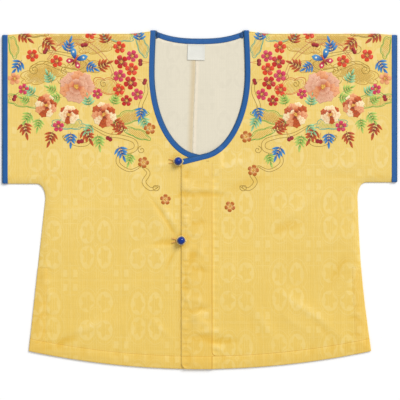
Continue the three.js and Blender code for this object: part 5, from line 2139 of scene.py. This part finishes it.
class MESH_OT_hanfu_embroidery(Step, bpy.types.Operator):
    """Embroider both shoulders with flowers, leaves, clouds and tendrils, mirrored"""

    bl_idname = "mesh.hanfu_embroidery"
    bl_label = "Shoulder Embroidery"

    def execute(self, context):
        prepare_materials()
        pads = {sides: unit_pad(sides) for sides in (8, 10, 12, 16)}
        for half in (RIGHT, LEFT):
            shoulder_embroidery(half, pads)
        return {"FINISHED"}


class SCENE_OT_hanfu_stage(Step, bpy.types.Operator):
    """Set up the pale floor, the soft light and the camera straight above"""

    bl_idname = "scene.hanfu_stage"
    bl_label = "Stage"

    def execute(self, context):
        stage()
        return {"FINISHED"}


PIECE_STEPS = (
    MESH_OT_hanfu_outer_halves,
    MESH_OT_hanfu_back_linings,
    MESH_OT_hanfu_bindings,
    MESH_OT_hanfu_label,
    MESH_OT_hanfu_buttons,
    MESH_OT_hanfu_stitches,
    MESH_OT_hanfu_embroidery,
)


class VIEW3D_PT_hanfu_top(bpy.types.Panel):
    bl_label = "Hanfu Dance Top"
    bl_idname = "VIEW3D_PT_hanfu_top"
    bl_space_type = "VIEW_3D"
    bl_region_type = "UI"
    bl_category = "Hanfu Top"

    def draw(self, context):
        scene = context.scene
        for group in (scene.hanfu_colours, scene.hanfu_sizes, scene.hanfu_stage):
            column = self.layout.column()
            for name in group.__annotations__:
                column.prop(group, name)
        column = self.layout.column()
        for step in (*PIECE_STEPS, SCENE_OT_hanfu_stage):
            column.operator(step.bl_idname)


CLASSES = (
    HanfuTopColours, HanfuTopSizes, HanfuTopStage, *PIECE_STEPS, SCENE_OT_hanfu_stage, VIEW3D_PT_hanfu_top,
)


def register():
    for one in CLASSES:
        bpy.utils.register_class(one)
    bpy.types.Scene.hanfu_colours = bpy.props.PointerProperty(type=HanfuTopColours)
    bpy.types.Scene.hanfu_sizes = bpy.props.PointerProperty(type=HanfuTopSizes)
    bpy.types.Scene.hanfu_stage = bpy.props.PointerProperty(type=HanfuTopStage)


def unregister():
    del bpy.types.Scene.hanfu_colours, bpy.types.Scene.hanfu_sizes, bpy.types.Scene.hanfu_stage
    for one in reversed(CLASSES):
        bpy.utils.unregister_class(one)


def main():
    register()
    bpy.ops.mesh.hanfu_outer_halves()
    bpy.ops.mesh.hanfu_back_linings()
    bpy.ops.mesh.hanfu_bindings()
    bpy.ops.mesh.hanfu_label()
    bpy.ops.mesh.hanfu_buttons()
    bpy.ops.mesh.hanfu_stitches()
    bpy.ops.mesh.hanfu_embroidery()
    bpy.ops.scene.hanfu_stage()
    bpy.context.view_layer.update()


if __name__ == "__main__":
    main()
